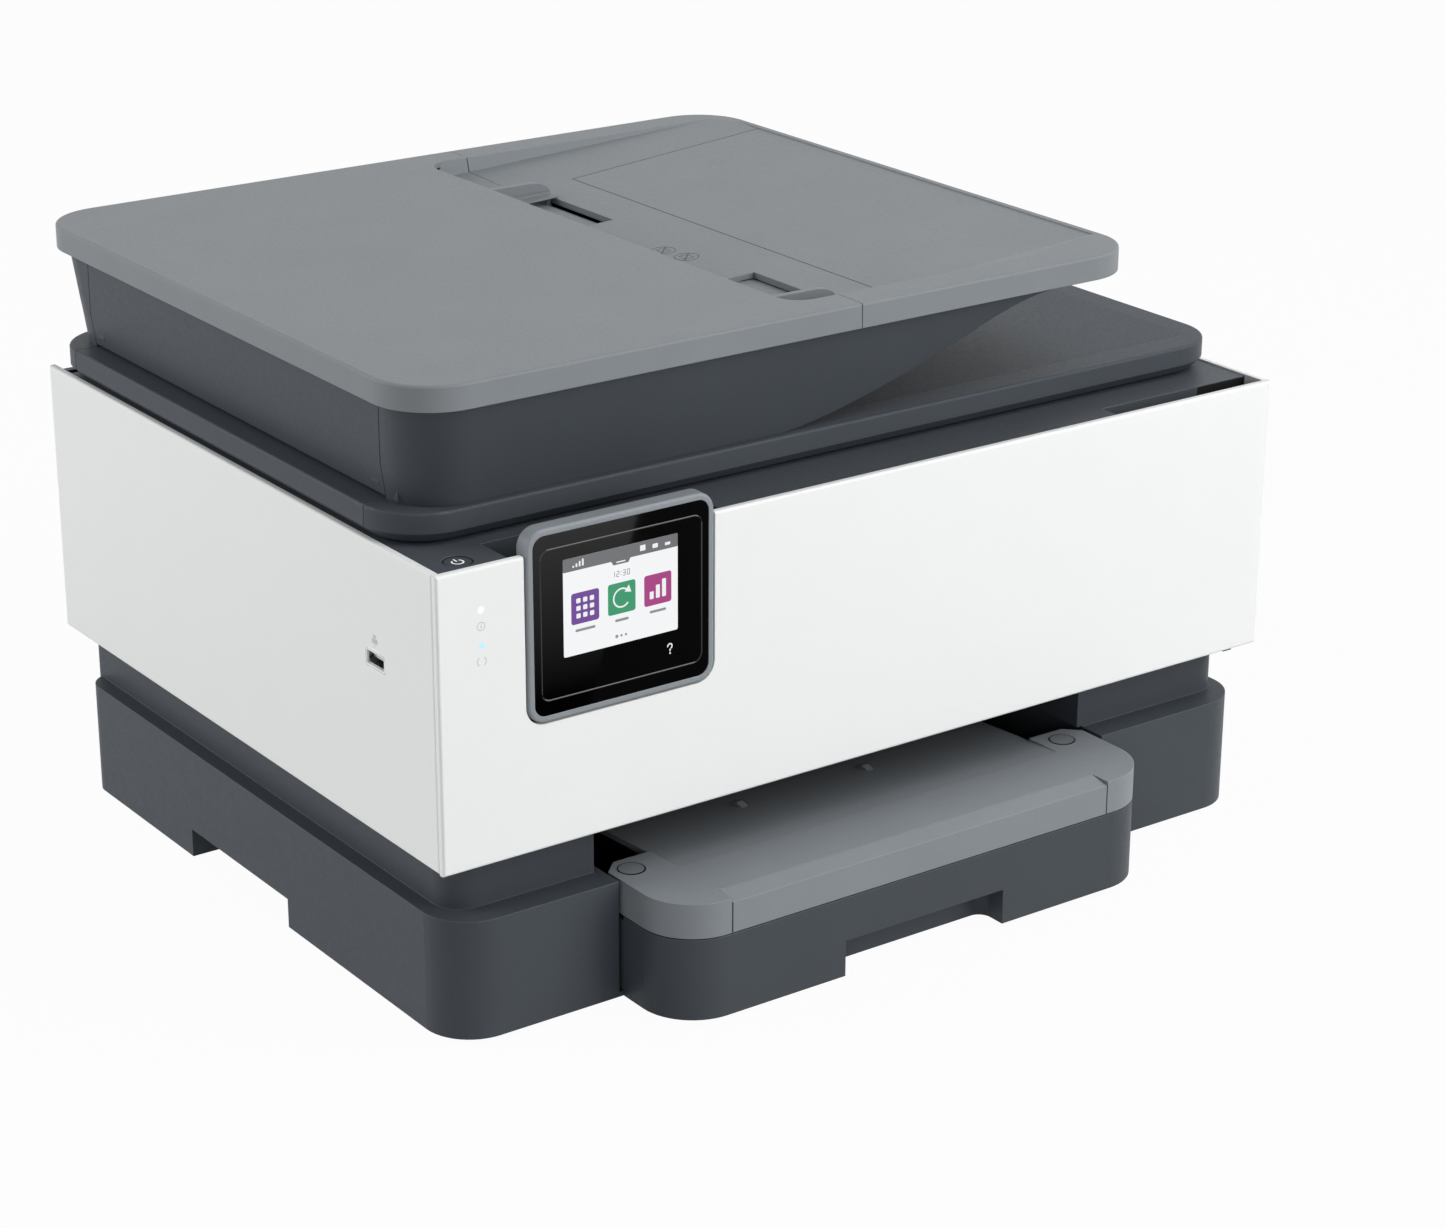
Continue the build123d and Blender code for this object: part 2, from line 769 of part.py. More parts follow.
for side in (-1, 1):
    pin_x = inlet_x + side * inlet_width / 6
    inlet += rod_y(pin_x, base_back - inlet_depth, base_back - wall, inlet_z, inlet_pin_radius)
save("power_inlet", inlet)

# White side panels and the side socket
usb_ends = (usb_y - usb_width / 2, usb_y + usb_width / 2)
usb_levels = (usb_z - usb_height / 2, usb_z + usb_height / 2)
usb_hole = block(-width, 0, *usb_ends, *usb_levels)
panel_start = panel_thick + seam_gap
for name, side in (("side_panel_left", -1), ("side_panel_right", 1)):
    panel = block(min(side * frame_half, side * width / 2), max(side * frame_half, side * width / 2),
                  panel_start, band_depth, band_low, band_top)
    outer_rim = panel.edges().filter_by(lambda e: abs(e.center().X) > width / 2 - 0.1)
    panel = fillet(outer_rim, edge_round)
    save(name, panel - usb_hole if side < 0 else panel)
usb_out = left_side + panel_thick / 4
usb_in = usb_out + usb_depth - usb_shell
usb_slack = seam_gap / 4
usb_box = block(usb_out, usb_out + usb_depth, usb_ends[0] + usb_slack, usb_ends[1] - usb_slack,
                usb_levels[0] + usb_slack, usb_levels[1] - usb_slack)
usb_box -= block(usb_out - past, usb_in, usb_ends[0] + usb_shell, usb_ends[1] - usb_shell,
                 usb_levels[0] + usb_shell, usb_levels[1] - usb_shell)
tongue = block(usb_out + usb_tongue_back, usb_in, usb_ends[0] + 3 * usb_shell, usb_ends[1] - 3 * usb_shell,
               usb_z, usb_z + usb_height / 3)
save("usb_socket", usb_box + tongue)

# Rear panel, its hinged door and two sockets
door_base = band_low + door_low
door_crest = band_low + door_high
rear_top = lid_pin_z - lid_sweep
rear_pin_z = door_base + rear_pin_rise
rear_panel = block(-frame_half, frame_half, frame_back, band_depth, band_low, rear_top)
rear_panel -= block(-door_half, door_half, 0, body_depth, door_base - rear_slot, door_crest)
rear_door = block(-door_half + seam_gap, door_half - seam_gap, frame_back + slide_gap, band_depth,
                  door_base, door_crest - seam_gap)
rib_span = (2 * door_half - 12 * wall) / (rear_rib_count - 1)
for rib in range(rear_rib_count):
    rib_x = -door_half + 6 * wall + rib * rib_span
    rib_view = [(frame_back + past, door_base + 4 * wall), (frame_back - 3 * wall, door_base + 8 * wall),
                (frame_back - 4 * wall, door_base + 14 * wall),
                (frame_back - 3 * wall, door_base + 20 * wall), (frame_back + past, door_base + 24 * wall)]
    rear_door += along_x(rib_view, rib_x - platen_rib / 2, rib_x + platen_rib / 2)
for side in (-1, 1):
    arm_x = side * (door_half - seam_gap - wall)
    rear_door += block(arm_x - wall, arm_x + wall, rear_pin_y - rear_pin_radius, frame_back + past,
                       rear_pin_z - rear_pin_radius, rear_pin_z + rear_pin_radius)
    pin_x = side * (door_half + rear_pin_length / 2 - wall)
    pin_ends = (pin_x - rear_pin_length / 2, pin_x + rear_pin_length / 2)
    rear_door += rod_x(*pin_ends, rear_pin_y, rear_pin_z, rear_pin_radius)
    lug_x = side * (door_half + rear_lug / 2)
    rear_panel += block(lug_x - rear_lug / 2, lug_x + rear_lug / 2, rear_pin_y - 2 * rear_pin_radius,
                        frame_back + past, rear_pin_z - 2 * rear_pin_radius, rear_pin_z + 2 * rear_pin_radius)
    rear_panel -= rod_x(lug_x - rear_lug, lug_x + rear_lug, rear_pin_y, rear_pin_z, rear_pin_radius + run_fit)
port_half = port_size / 2
sockets = (("socket_network", port_x, network_rim), ("socket_usb_rear", port_x - port_pitch, data_rim))
for name, spot, rim in sockets:
    hole_half = port_half + seam_gap / 2
    rear_panel -= block(spot - hole_half, spot + hole_half, 0, body_depth,
                        port_z - hole_half, port_z + hole_half)
    port = block(spot - port_half, spot + port_half, band_depth - port_depth, band_depth - slide_gap,
                 port_z - port_half, port_z + port_half)
    open_half = port_half - rim
    port -= block(spot - open_half, spot + open_half, band_depth - port_depth + wall, body_depth,
                  port_z - open_half, port_z + open_half)
    save(name, port)
save("rear_panel", rear_panel)
save("rear_door", rear_door)

# Scanner bed with the deck, finger grips and control panel bay
deck_back = lid_pin_y - lid_sweep
lip_low = deck_top - lip_height
bed = block(-frame_half, frame_half, frame_front, deck_back, bed_low, deck_top)
bed -= block(-frame_half + wall, frame_half - wall, frame_front + wall, deck_back - wall, bed_low + wall,
             deck_top - deck_thick)
bed += block(-frame_half, frame_half, panel_start, frame_front + wall, lip_low, deck_top)
bay_left = panel_left - bay_side
bay_right = panel_right + bay_side
bay_low = deck_top - bay_depth
bed += block(bay_left - wall, bay_right + wall, frame_front, bay_back + wall, bay_low - wall, deck_top)
bed -= block(bay_left, bay_right, 0, bay_back, bay_low, deck_top + past)
pocket_floor = deck_top - grip_pocket_drop
bed += block(notch_right - wall, frame_half, panel_start, frame_front + wall, pocket_floor - wall, deck_top)
notch_floor = deck_top - notch_drop
notch_view = [(notch_left, notch_floor), (notch_right, notch_floor), (notch_right, pocket_floor),
              (frame_half, pocket_floor), (frame_half, deck_top + past), (notch_left, deck_top + past)]
bed -= along_y(notch_view, 0, notch_back)
glass_low_face = deck_top - platen_glass_thick
glass_slack = seam_gap / 2
bed -= block(glass_left - glass_slack, glass_right + glass_slack, glass_front - glass_slack,
             glass_back + glass_slack, glass_low_face, deck_top + past)
bed -= block(glass_left + glass_ledge, glass_right - glass_ledge, glass_front + glass_ledge,
             glass_back - glass_ledge, bed_low + 2 * wall, deck_top + past)
bed -= rod_z(button_x, button_y, lip_low - past, deck_top + past, button_radius + curve_gap)
bed -= rod_z(button_x, button_y, lip_low - 8 * button_travel, lip_low, button_radius + 2 * button_flange)
save("scanner_bed", bed)
save("scan_glass", block(glass_left, glass_right, glass_front, glass_back, glass_low_face, deck_top))
button_top = deck_top - slide_gap
button_low = lip_low - 3 * button_travel
button = rod_z(button_x, button_y, button_low, button_top, button_radius)
button += rod_z(button_x, button_y, button_low, lip_low - slide_gap, button_radius + button_flange)
button = fillet(button.faces().sort_by(Axis.Z)[-1].edges(), slide_gap)
save("power_button", button)
rail_z = bed_low + wall + 2 * scan_rail_radius
rail_half = frame_half - wall
save("scan_rail", rod_x(-rail_half, rail_half, scan_rail_y, rail_z, scan_rail_radius))
bar_top = deck_top - deck_thick - slide_gap
scan_bar_x = glass_left + scan_bar_inset
bar_left = scan_bar_x - scan_bar_width / 2
bar_right = scan_bar_x + scan_bar_width / 2
scan_bar = block(bar_left, bar_right, glass_front, glass_back, bar_top - scan_bar_height, bar_top)
scan_bar += block(bar_left, bar_right, scan_rail_y - 3 * scan_rail_radius, scan_rail_y + 3 * scan_rail_radius,
                  rail_z - 1.6 * scan_rail_radius, bar_top)
scan_bar -= rod_x(bar_left - past, bar_right + past, scan_rail_y, rail_z, scan_rail_radius + run_fit)
save("scan_bar", scan_bar)

# Front door: white face, dark liner with hinge pins and ears, two light pipes
door = block(-width / 2, width / 2, 0, panel_thick, band_low, band_top)
door = fillet(door.edges().filter_by(lambda e: e.center().Y < 0.1), edge_round)
door -= pane(panel_left - panel_gap, panel_right + panel_gap, panel_low - panel_gap,
             panel_top + 2 * panel_round, -past, panel_thick + past, panel_round + panel_gap)
lights = Part()
for level in (band_top - light_high_drop, band_top - light_low_drop):
    door -= rod_y(light_x, -past, panel_thick + past, level, light_radius + run_fit)
    lights += rod_y(light_x, 0, panel_thick, level, light_radius)
save("front_door", door)
save("light_pipes", lights)
liner_half = frame_half - liner_side
liner_back = panel_thick + liner_depth
liner_low = band_low + liner_rise
liner_top = band_top - liner_drop
liner = block(-liner_half, liner_half, panel_thick, liner_back, liner_low, liner_top)
liner_web = liner_back - wall + slide_gap
liner -= block(-liner_half + wall, liner_half - wall, 0, liner_web, liner_low + wall, liner_top - wall)
liner -= block(panel_left - panel_gap, panel_right + panel_gap, 0, liner_web, liner_low + wall, band_top)
liner -= block(notch_right - 2 * wall, frame_half, 0, liner_back + past, pocket_floor - 2 * wall, band_top)
for side in (-1, 1):
    arm_x = side * (lug_near - slide_gap - wall)
    liner += block(arm_x - wall, arm_x + wall, panel_thick, liner_back, door_pin_z - door_pin_radius,
                   liner_low + 6 * wall)
    root_x = side * (liner_half - past)
    liner += block(min(root_x, arm_x), max(root_x, arm_x), panel_thick, liner_back,
                   liner_low, liner_low + 6 * wall)
    pin_ends = (side * (lug_near - slide_gap - wall), side * (lug_near + door_lug_width - slide_gap))
    liner += rod_x(min(pin_ends), max(pin_ends), door_pin_y, door_pin_z, door_pin_radius)
ear_spots = (panel_left - slide_gap - panel_ear_thick, panel_right + slide_gap)
for ear_x in ear_spots:
    ear_y = (panel_pin_y - panel_ear_radius, panel_pin_y + panel_ear_radius)
    ear = block(ear_x, ear_x + panel_ear_thick, *ear_y, panel_pin_z - panel_ear_height, panel_pin_z)
    ear += rod_x(ear_x, ear_x + panel_ear_thick, panel_pin_y, panel_pin_z, panel_ear_radius)
    ear_hole = (ear_x - past, ear_x + panel_ear_thick + past)
    liner += ear - rod_x(*ear_hole, panel_pin_y, panel_pin_z, panel_pin_radius + run_fit)
save("door_liner", liner)

# Control panel
bezel = pane(panel_left, panel_right, panel_low, panel_top, panel_front, panel_back, panel_round)
bezel = fillet(bezel.faces().sort_by(Axis.Y)[0].edges(), edge_round)
glass_low = panel_low + glass_rim
glass_top = panel_top - glass_rim
glass_x0 = panel_left + glass_rim
glass_x1 = panel_right - glass_rim
glass_round = panel_round - glass_rim
bezel -= pane(glass_x0, glass_x1, glass_low, glass_top, panel_front - past, panel_front + glass_thick,
              glass_round)
bezel += rod_x(panel_left - panel_pin_length, panel_left + wall, panel_pin_y, panel_pin_z, panel_pin_radius)
bezel += rod_x(panel_right - wall, panel_right + panel_pin_length, panel_pin_y, panel_pin_z, panel_pin_radius)
save("panel_bezel", bezel)
screen_x = (panel_left + panel_right) / 2 - screen_shift / 2
screen_high = glass_top - screen_drop
screen_low = screen_high - screen_height
screen_ends = (screen_x - screen_width / 2, screen_x + screen_width / 2)
glass_front_y = panel_front + slide_gap / 2
screen_back = glass_front_y + screen_thick
glass_fit = seam_gap / 4
glass = pane(glass_x0 + glass_fit, glass_x1 - glass_fit, glass_low + glass_fit, glass_top - glass_fit,
             glass_front_y, panel_front + glass_thick, glass_round)
glass -= block(*screen_ends, panel_front - past, screen_back, screen_low, screen_high)
save("panel_glass", glass)
save("panel_screen", block(screen_ends[0] + run_fit, screen_ends[1] - run_fit, glass_front_y, screen_back,
                           screen_low + run_fit, screen_high - run_fit))

# Lid frame with the output shelf, backing pad and hinge
lid_half = width / 2 - lid_side
lid = slab(-lid_half, lid_half, lid_front, lid_back, lid_low, lid_top, lid_round)
lid = chamfer(lid.faces().sort_by(Axis.Z)[0].edges(), lid_bevel)
lid = fillet(lid.faces().sort_by(Axis.Z)[-1].edges(), edge_round)
shelf_start = (shelf_left, 0, lid_top - shelf_depth)
shelf_middle = ((shelf_left + shelf_right) / 2, 0, lid_top - shelf_bow)
shelf_end = (shelf_right, 0, lid_top)
shelf_curve = ThreePointArc(shelf_start, shelf_middle, shelf_end)
shelf_open = lid_top + wall
shelf_lines = Polyline(shelf_end, (shelf_right, 0, shelf_open), (shelf_left, 0, shelf_open), shelf_start)
shelf_face = make_face(Curve() + [shelf_curve, shelf_lines])
lid -= Pos(0, shelf_front, 0) * extrude(shelf_face, amount=shelf_back - shelf_front, dir=(0, 1, 0))
pad_low = deck_top + slide_gap
pad_top = pad_low + backing_thick
pad_x = (glass_left - backing_margin, glass_right + backing_margin)
pad_y = (glass_front - backing_margin, glass_back + backing_margin)
lid -= block(pad_x[0] - seam_gap, pad_x[1] + seam_gap, pad_y[0] - seam_gap, pad_y[1] + seam_gap, 0, pad_top)
save("lid_pad", block(*pad_x, *pad_y, pad_low, pad_top))
for seam in (end_seam_front, end_seam_back):
    seam_y = (seam - seam_gap / 2, seam + seam_gap / 2)
    lid -= block(-lid_half - past, -lid_half + seam_depth, *seam_y, lid_low - past, lid_top + past)
    lid -= block(-lid_half, feeder_left_low + wall, *seam_y, lid_top - seam_depth, lid_top + past)
brackets = Part()
pins = Part()
for side in (-1, 1):
    hinge_x = side * lid_hinge_x
    ends = (hinge_x - lid_hinge_width / 2, hinge_x + lid_hinge_width / 2)
    bracket = rod_x(*ends, lid_pin_y, lid_pin_z, lid_lug_radius)
    bracket += block(*ends, lid_pin_y - lid_lug_radius, frame_back, bed_low, lid_pin_z)
    hole_ends = (ends[0] - past, ends[1] + past)
    brackets += bracket - rod_x(*hole_ends, lid_pin_y, lid_pin_z, lid_pin_radius + run_fit)
    lid -= block(ends[0] - slide_gap, ends[1] + slide_gap, lid_pin_y - lid_sweep, body_depth, 0,
                 lid_pin_z + lid_lug_radius + lid_cut_gap)
    pin_ends = (hinge_x - lid_pin_length / 2, hinge_x + lid_pin_length / 2)
    lid -= rod_x(pin_ends[0], pin_ends[1], lid_pin_y, lid_pin_z, lid_pin_radius + run_fit)
    pins += rod_x(*pin_ends, lid_pin_y, lid_pin_z, lid_pin_radius)
save("lid_frame", lid)
save("hinge_brackets", brackets)
save("lid_pins", pins)

# Document feeder body: a leaning shell with a curved roof over the output shelf
def feeder_top_outline(inset):
    """The feeder's upper outline, drawn in by an inset."""
    return outline(feeder_left_high + inset, cover_right - inset, feeder_front_high + inset,
                   feeder_back_high - inset, feeder_top, feeder_round - inset)


def feeder_form(inset):
    """The feeder's leaning form, drawn in by an inset."""
    low = outline(feeder_left_low + inset, cover_right - inset, feeder_front_low + inset,
                  feeder_back_low - inset, lid_top, feeder_round - inset)
    return loft([low, feeder_top_outline(inset)])


def under_roof(rise):
    """The space under the curved roof, lifted by a rise."""
    curve = [(roof_foot, 0, lid_top + rise)]
    curve += [(x, 0, lid_top + z + rise) for x, z in (roof_first, roof_second, roof_third)]
    curve += [(roof_end, 0, feeder_top + rise)]
    far = cover_right + feeder_round
    edges = Polyline((roof_end, 0, feeder_top + rise), (far, 0, feeder_top + rise), (far, 0, lid_top - past),
                     (roof_foot, 0, lid_top - past), (roof_foot, 0, lid_top + rise))
    return extrude(make_face(Curve() + [Spline(*curve), edges]), amount=body_depth, dir=(0, 1, 0))


def end_zone(gap):
    """The leaning zone of the feeder's left end, drawn in by a gap."""
    knee = lid_top + end_seam_upright
    view = [(end_seam_front + gap, lid_top - past), (end_seam_front + gap, knee),
            (end_seam_front - end_seam_lean + gap, cover_low),
            (end_seam_back - end_seam_lean_back - gap, cover_low),
            (end_seam_back - gap, knee), (end_seam_back - gap, lid_top - past)]
    return along_x(view, -width, feeder_left_low + end_clear)


def feeder_rim(x0, x1):
    """The stretch of the feeder's upper rim that meets the top pieces."""
    rim = feeder_top_outline(0) - feeder_top_outline(wall)
    return extrude(rim, amount=cover_gap, dir=(0, 0, 1)) & block(x0, x1, 0, body_depth, feeder_top, cover_low)


hollow = feeder_form(wall)
feeder_body = feeder_form(0) - under_roof(0)
feeder_body -= hollow - under_roof(wall) - block(-width, width, 0, body_depth, 0, lid_top + wall)
feeder_body -= end_zone(0)
feeder_body += feeder_rim(cover_seam + seam_gap, roof_end - feeder_round)
end_panel = feeder_form(0) - hollow + feeder_rim(-width, feeder_left_low)
end_panel &= end_zone(end_gap)
end_panel -= block(-width, width, 0, body_depth, 0, lid_top + end_lift)
lug_low = lid_top + wall / 2
for step, seam in ((1, end_seam_front), (-1, end_seam_back)):
    inner = seam + step * end_arm_inset
    outer = seam - step * end_lug_inset
    arm_y = (inner, inner + step * end_arm_width)
    end_panel += block(feeder_left_low - past, end_pin_x + end_pin_radius, min(arm_y), max(arm_y),
                       end_pin_z - end_pin_radius, end_pin_z + end_pin_radius)
    pin_y = (outer - step * end_lug_width, inner + step)
    end_panel += rod_y(end_pin_x, min(pin_y), max(pin_y), end_pin_z, end_pin_radius)
    lug_y = (outer - step * end_lug_width, outer)
    free_y = (outer, seam + step * past)
    feeder_body -= rod_y(end_pin_x, min(free_y), max(free_y), end_pin_z, end_pin_radius + curve_gap)
    feeder_body += block(feeder_left_low + seam_gap, end_pin_x + 2 * end_pin_radius, min(lug_y), max(lug_y),
                         lug_low, end_pin_z + 2 * end_pin_radius)
    feeder_body -= rod_y(end_pin_x, min(lug_y) - past, max(lug_y) + past, end_pin_z, end_pin_radius + run_fit)
roller_z = lid_top + roller_rise
for side in (-1, 1):
    lug_y = guide_axis_y + side * roller_lug
    feeder_body += block(roller_x - 2 * shaft_radius, roller_x + 2 * shaft_radius, lug_y - wall, lug_y + wall,
                         lug_low, roller_z + 2 * shaft_radius)
    feeder_body -= rod_y(roller_x, lug_y - 2 * wall, lug_y + 2 * wall, roller_z, shaft_radius + run_fit)
save("feeder_body", feeder_body)
save("feeder_end_panel", end_panel)
shaft_half = roller_lug + 2 * wall
shaft = rod_y(roller_x, guide_axis_y - shaft_half, guide_axis_y + shaft_half, roller_z, shaft_radius)
shaft += rod_y(roller_x, guide_axis_y - roller_width, guide_axis_y + roller_width, roller_z, roller_bore)
save("feeder_shaft", shaft)
tyre_ends = (guide_axis_y - roller_width / 2, guide_axis_y + roller_width / 2)
tyre = rod_y(roller_x, *tyre_ends, roller_z, roller_radius)
tyre -= rod_y(roller_x, 0, body_depth, roller_z, roller_bore + run_fit)
save("feeder_tyre", tyre)

# Feeder cover and document tray, cut from one rounded top
feed_rise = height - feed_surface_high - cover_low - feed_surface_low
feed_slope = feed_rise / (feed_surface_end - feed_surface_start)


def feed_level(x):
    """Height of the document tray's leaning surface."""
    return cover_low + feed_surface_low + feed_slope * (x - feed_surface_start)


def raised(first, second, third):
    """The space above a leaning plane through three points."""
    across = Vector(*second) - Vector(*first)
    along = Vector(*third) - Vector(*first)
    plane = Plane(first, x_dir=across, z_dir=across.cross(along))
    return plane.location * Pos(0, 0, width) * Box(4 * width, 4 * width, 2 * width)


def on_pad(x, y):
    """A point of the document tray's leaning surface."""
    return (x, y, feed_level(x))


recess = slab(cover_edge, feed_surface_end, feed_front, feed_back, cover_low, height + past, recess_round)
recess &= raised(on_pad(0, 0), on_pad(width, 0), on_pad(0, body_depth))
recess &= raised(on_pad(pad_left, pad_back), on_pad(pad_right, pad_back + pad_back_flare),
                 (rim_touch_back, feed_back, height))
recess &= raised(on_pad(pad_right, pad_front + pad_front_flare), on_pad(pad_left, pad_front),
                 (rim_touch_front, feed_front, height))
facet_low = height - facet_drop
facet_back = feed_back - facet_back_run
facet_front = feed_front + facet_front_run
recess &= raised((0, facet_back, facet_low), (width, facet_back, facet_low), (0, feed_back, height))
recess &= raised((width, facet_front, facet_low), (0, facet_front, facet_low), (width, feed_front, height))
top_form = slab(cover_left, cover_right, cover_front, body_depth, cover_low, height, cover_round)
top_form = fillet(top_form.faces().sort_by(Axis.Z)[-1].edges(), edge_round)
top_hollow = slab(cover_left + cover_wall, cover_right - cover_wall, cover_front + cover_wall,
                  body_depth - cover_wall, cover_low - past, height - cover_wall, cover_round - cover_wall)
cover_end = cover_seam - seam_gap / 2
cover = top_form & block(-width, cover_end, 0, body_depth + past, 0, height + past)
cover -= top_hollow - Pos(0, 0, -cover_wall) * recess
cover -= recess
cover -= block(cover_edge, cover_seam, window_front, window_back, cover_low - past, height + past)
save("feeder_cover", cover)
tray_start = cover_seam + seam_gap / 2
feed_tray = top_form & block(tray_start, width, 0, body_depth + past, 0, height + past)
feed_tray -= recess
well_left = tray_start + feeder_round
well_top = feed_level(feed_surface_end) - wall
well_view = [(well_left, cover_low - past), (width, cover_low - past), (width, well_top),
             (feed_surface_end, well_top), (well_left, feed_level(well_left) - wall)]
feed_tray -= along_y(well_view, 0, body_depth) & top_hollow
tongue_view = [(tongue_left, feed_level(tongue_left)), (tray_start + past, feed_level(tray_start + past)),
               (tray_start + past, plate_low), (tongue_left, plate_low)]
feed_tray += along_y(tongue_view, window_front + slide_gap, window_back - slide_gap)
pad_seam = (pad_seam_x - seam_gap / 2, pad_seam_x + seam_gap / 2)
feed_tray -= block(*pad_seam, pad_front, pad_back, feed_level(pad_seam_x) - pad_seam_depth, height)
peg = pinion_bore - run_fit
feed_tray += rod_z(pinion_x, guide_axis_y, rack_low - 1.5 * wall, cover_low, peg)
feed_tray += rod_z(pinion_x, guide_axis_y, rack_low - 1.5 * wall, rack_low - slide_gap, 2 * pinion_bore)
guide_top = height - cover_wall - 2 * slide_gap
rack_pitch = math.pi * pinion_module


def rack_form(side, y0, y1):
    """A toothed bar on one side of the pinion."""
    pitch_x = pinion_x + side * pinion_pitch
    root_x = pitch_x + side * rack_root
    tip_x = pitch_x - side * rack_tip
    lean = math.tan(math.radians(pressure_angle))
    half = (rack_pitch - tooth_backlash * 2) / 4
    points = [(root_x + side * rack_body, y0), (root_x, y0)]
    first = math.ceil((y0 - guide_axis_y) / rack_pitch + 0.5)
    last = math.floor((y1 - guide_axis_y) / rack_pitch - 1.5)
    for tooth in range(first, last + 1):
        middle = guide_axis_y + (tooth + 0.5) * rack_pitch
        points += [(root_x, middle - half - lean * rack_root), (tip_x, middle - half + lean * rack_tip)]
        points += [(tip_x, middle + half - lean * rack_tip), (root_x, middle + half + lean * rack_root)]
    points += [(root_x, y1), (root_x + side * rack_body, y1)]
    face = make_face(Polyline(*[(x, y, rack_low) for x, y in points], close=True))
    return extrude(face, amount=rack_thick, dir=(0, 0, 1))


for name, side in (("guide_back", 1), ("guide_front", -1)):
    inner = guide_axis_y + side * guide_half
    outer = inner + side * guide_thick
    foot_y = inner - side * 3 * guide_thick
    fin_low = (feed_level(guide_left) + slide_gap, feed_level(guide_right) + slide_gap)
    fin_view = [(guide_left, fin_low[0]), (guide_right, fin_low[1]), (guide_right, guide_top - guide_thick),
                (guide_right - guide_thick, guide_top), (guide_left, guide_top)]
    guide = along_y(fin_view, min(inner, outer), max(inner, outer))
    foot_view = [(guide_left, fin_low[0]), (guide_right, fin_low[1]),
                 (guide_right, fin_low[1] + 2 * slide_gap), (guide_left, fin_low[0] + 2 * slide_gap)]
    guide += along_y(foot_view, min(foot_y, outer), max(foot_y, outer))
    stem_x = pinion_x + side * (pinion_pitch + rack_root)
    stem_y = outer - side * stem_length
    stem_far = stem_x + side * rack_body
    guide += block(min(stem_x, stem_far), max(stem_x, stem_far), min(outer, stem_y), max(outer, stem_y),
                   rack_low, fin_low[1])
    rack_end = guide_axis_y - side * rack_past
    guide += rack_form(side, min(rack_end, outer), max(rack_end, outer))
    save(name, guide)
    slot_end = stem_y - side * (guide_travel + past)
    slot_y = outer + side
    feed_tray -= block(slot_left, slot_right, min(slot_y, slot_end), max(slot_y, slot_end),
                       plate_low - past, height)
save("feeder_tray", feed_tray)
pinion = gear(pinion_teeth, pinion_module, rack_thick, pinion_bore, 0)
save("guide_pinion", Pos(pinion_x, guide_axis_y, rack_low) * pinion)

# Paper tray: rounded front, open tub and handle recess
tray_front = -tray_reach
tray_join = base_front - slide_gap
tub_low = foot_height + tub_rise
tub_floor = tub_low + tub_wall
tray_face = block(tray_left, tray_right, tray_front, tray_join, foot_height, seam_level)
tray_face = upright_round(tray_face, tray_round, tray_front - past, tray_front + past)
paper_tray = tray_face + block(tray_left, tray_right, 0, tray_back, tub_low, seam_level - tub_wall)
tray_well = block(tray_left + tub_wall, tray_right - tub_wall, tray_front + wall, tray_back - tub_wall,
                  tub_floor, step_level)
paper_tray -= upright_round(tray_well, tray_round - wall, tray_front, tray_front + 2 * wall)
handle_ends = (handle_centre - handle_width / 2, handle_centre + handle_width / 2)
handle_back = tray_front + handle_depth
paper_tray += block(handle_ends[0] - wall, handle_ends[1] + wall, tray_front, handle_back + wall, foot_height,
                    foot_height + handle_height + wall)
handle_top = foot_height + handle_height
paper_tray -= slab(*handle_ends, tray_front - handle_depth, handle_back, 0, handle_top, handle_round)
save("paper_tray", paper_tray)
paper_low = tub_floor + slide_gap
stop_top = paper_low + paper_fin_height
for name, side in (("paper_guide_left", -1), ("paper_guide_right", 1)):
    near = tray_centre + side * paper_half
    fin_x = (near, near + side * paper_fin_thick)
    fin = block(min(fin_x), max(fin_x), paper_fin_front, paper_fin_back, paper_low, stop_top)
    foot_x = (near, near + side * paper_foot)
    fin += block(min(foot_x), max(foot_x), paper_fin_front + 4 * wall, paper_fin_back - 4 * wall,
                 paper_low, paper_low + wall)
    save(name, fin)
stop_ends = (tray_centre - stop_width / 2, tray_centre + stop_width / 2)
stop = block(*stop_ends, stop_y - paper_fin_thick, stop_y, paper_low, stop_top)
stop += block(stop_ends[0] + 4 * wall, stop_ends[1] - 4 * wall, stop_y - 6 * paper_fin_thick, stop_y,
              paper_low, paper_low + wall)
save("paper_stop", stop)

# Output tray over the paper tray, with its sliding flap and two bumpers
skirt_low = seam_level + tray_gap
output = block(tray_left, tray_right, tray_front, ear_back, skirt_low, tray_top)
output = upright_round(output, tray_round, tray_front - past, tray_front + past)
ear_edges = output.edges().filter_by(Axis.Z).filter_by(lambda e: e.center().Y > ear_back - past)
output = chamfer(ear_edges, ear_chamfer)
plate_under = tray_top - output_thick
output_well = block(tray_left + wall, tray_right - wall, tray_front + wall, ear_back + past,
                    skirt_low - past, plate_under)
output -= upright_round(output_well, tray_round - wall, tray_front, tray_front + 2 * wall)
deck_ends = (tray_left + ear_width, tray_right - ear_width)
output -= block(*deck_ends, output_slope_start, ear_back + past, skirt_low - past, tray_top + past)
slope_view = [(output_slope_start, tray_top), (output_back, tray_top - output_drop),
              (output_back, tray_top - output_drop - output_thick), (output_slope_start, plate_under)]
output += along_x(slope_view, *deck_ends)
output_slope = output_drop / (output_back - output_slope_start)
rib_foot = tray_top - output_slope * (output_rib_y - output_slope_start)
rib_tail = rib_foot - output_slope * output_rib_length
rib_back = output_rib_y + output_rib_length
rib_view = [(output_rib_y, rib_foot - wall / 2), (output_rib_y, rib_foot),
            (output_rib_y + output_rib_length / 2, rib_foot + output_rib_height),
            (rib_back, rib_tail), (rib_back, rib_tail - wall / 2)]
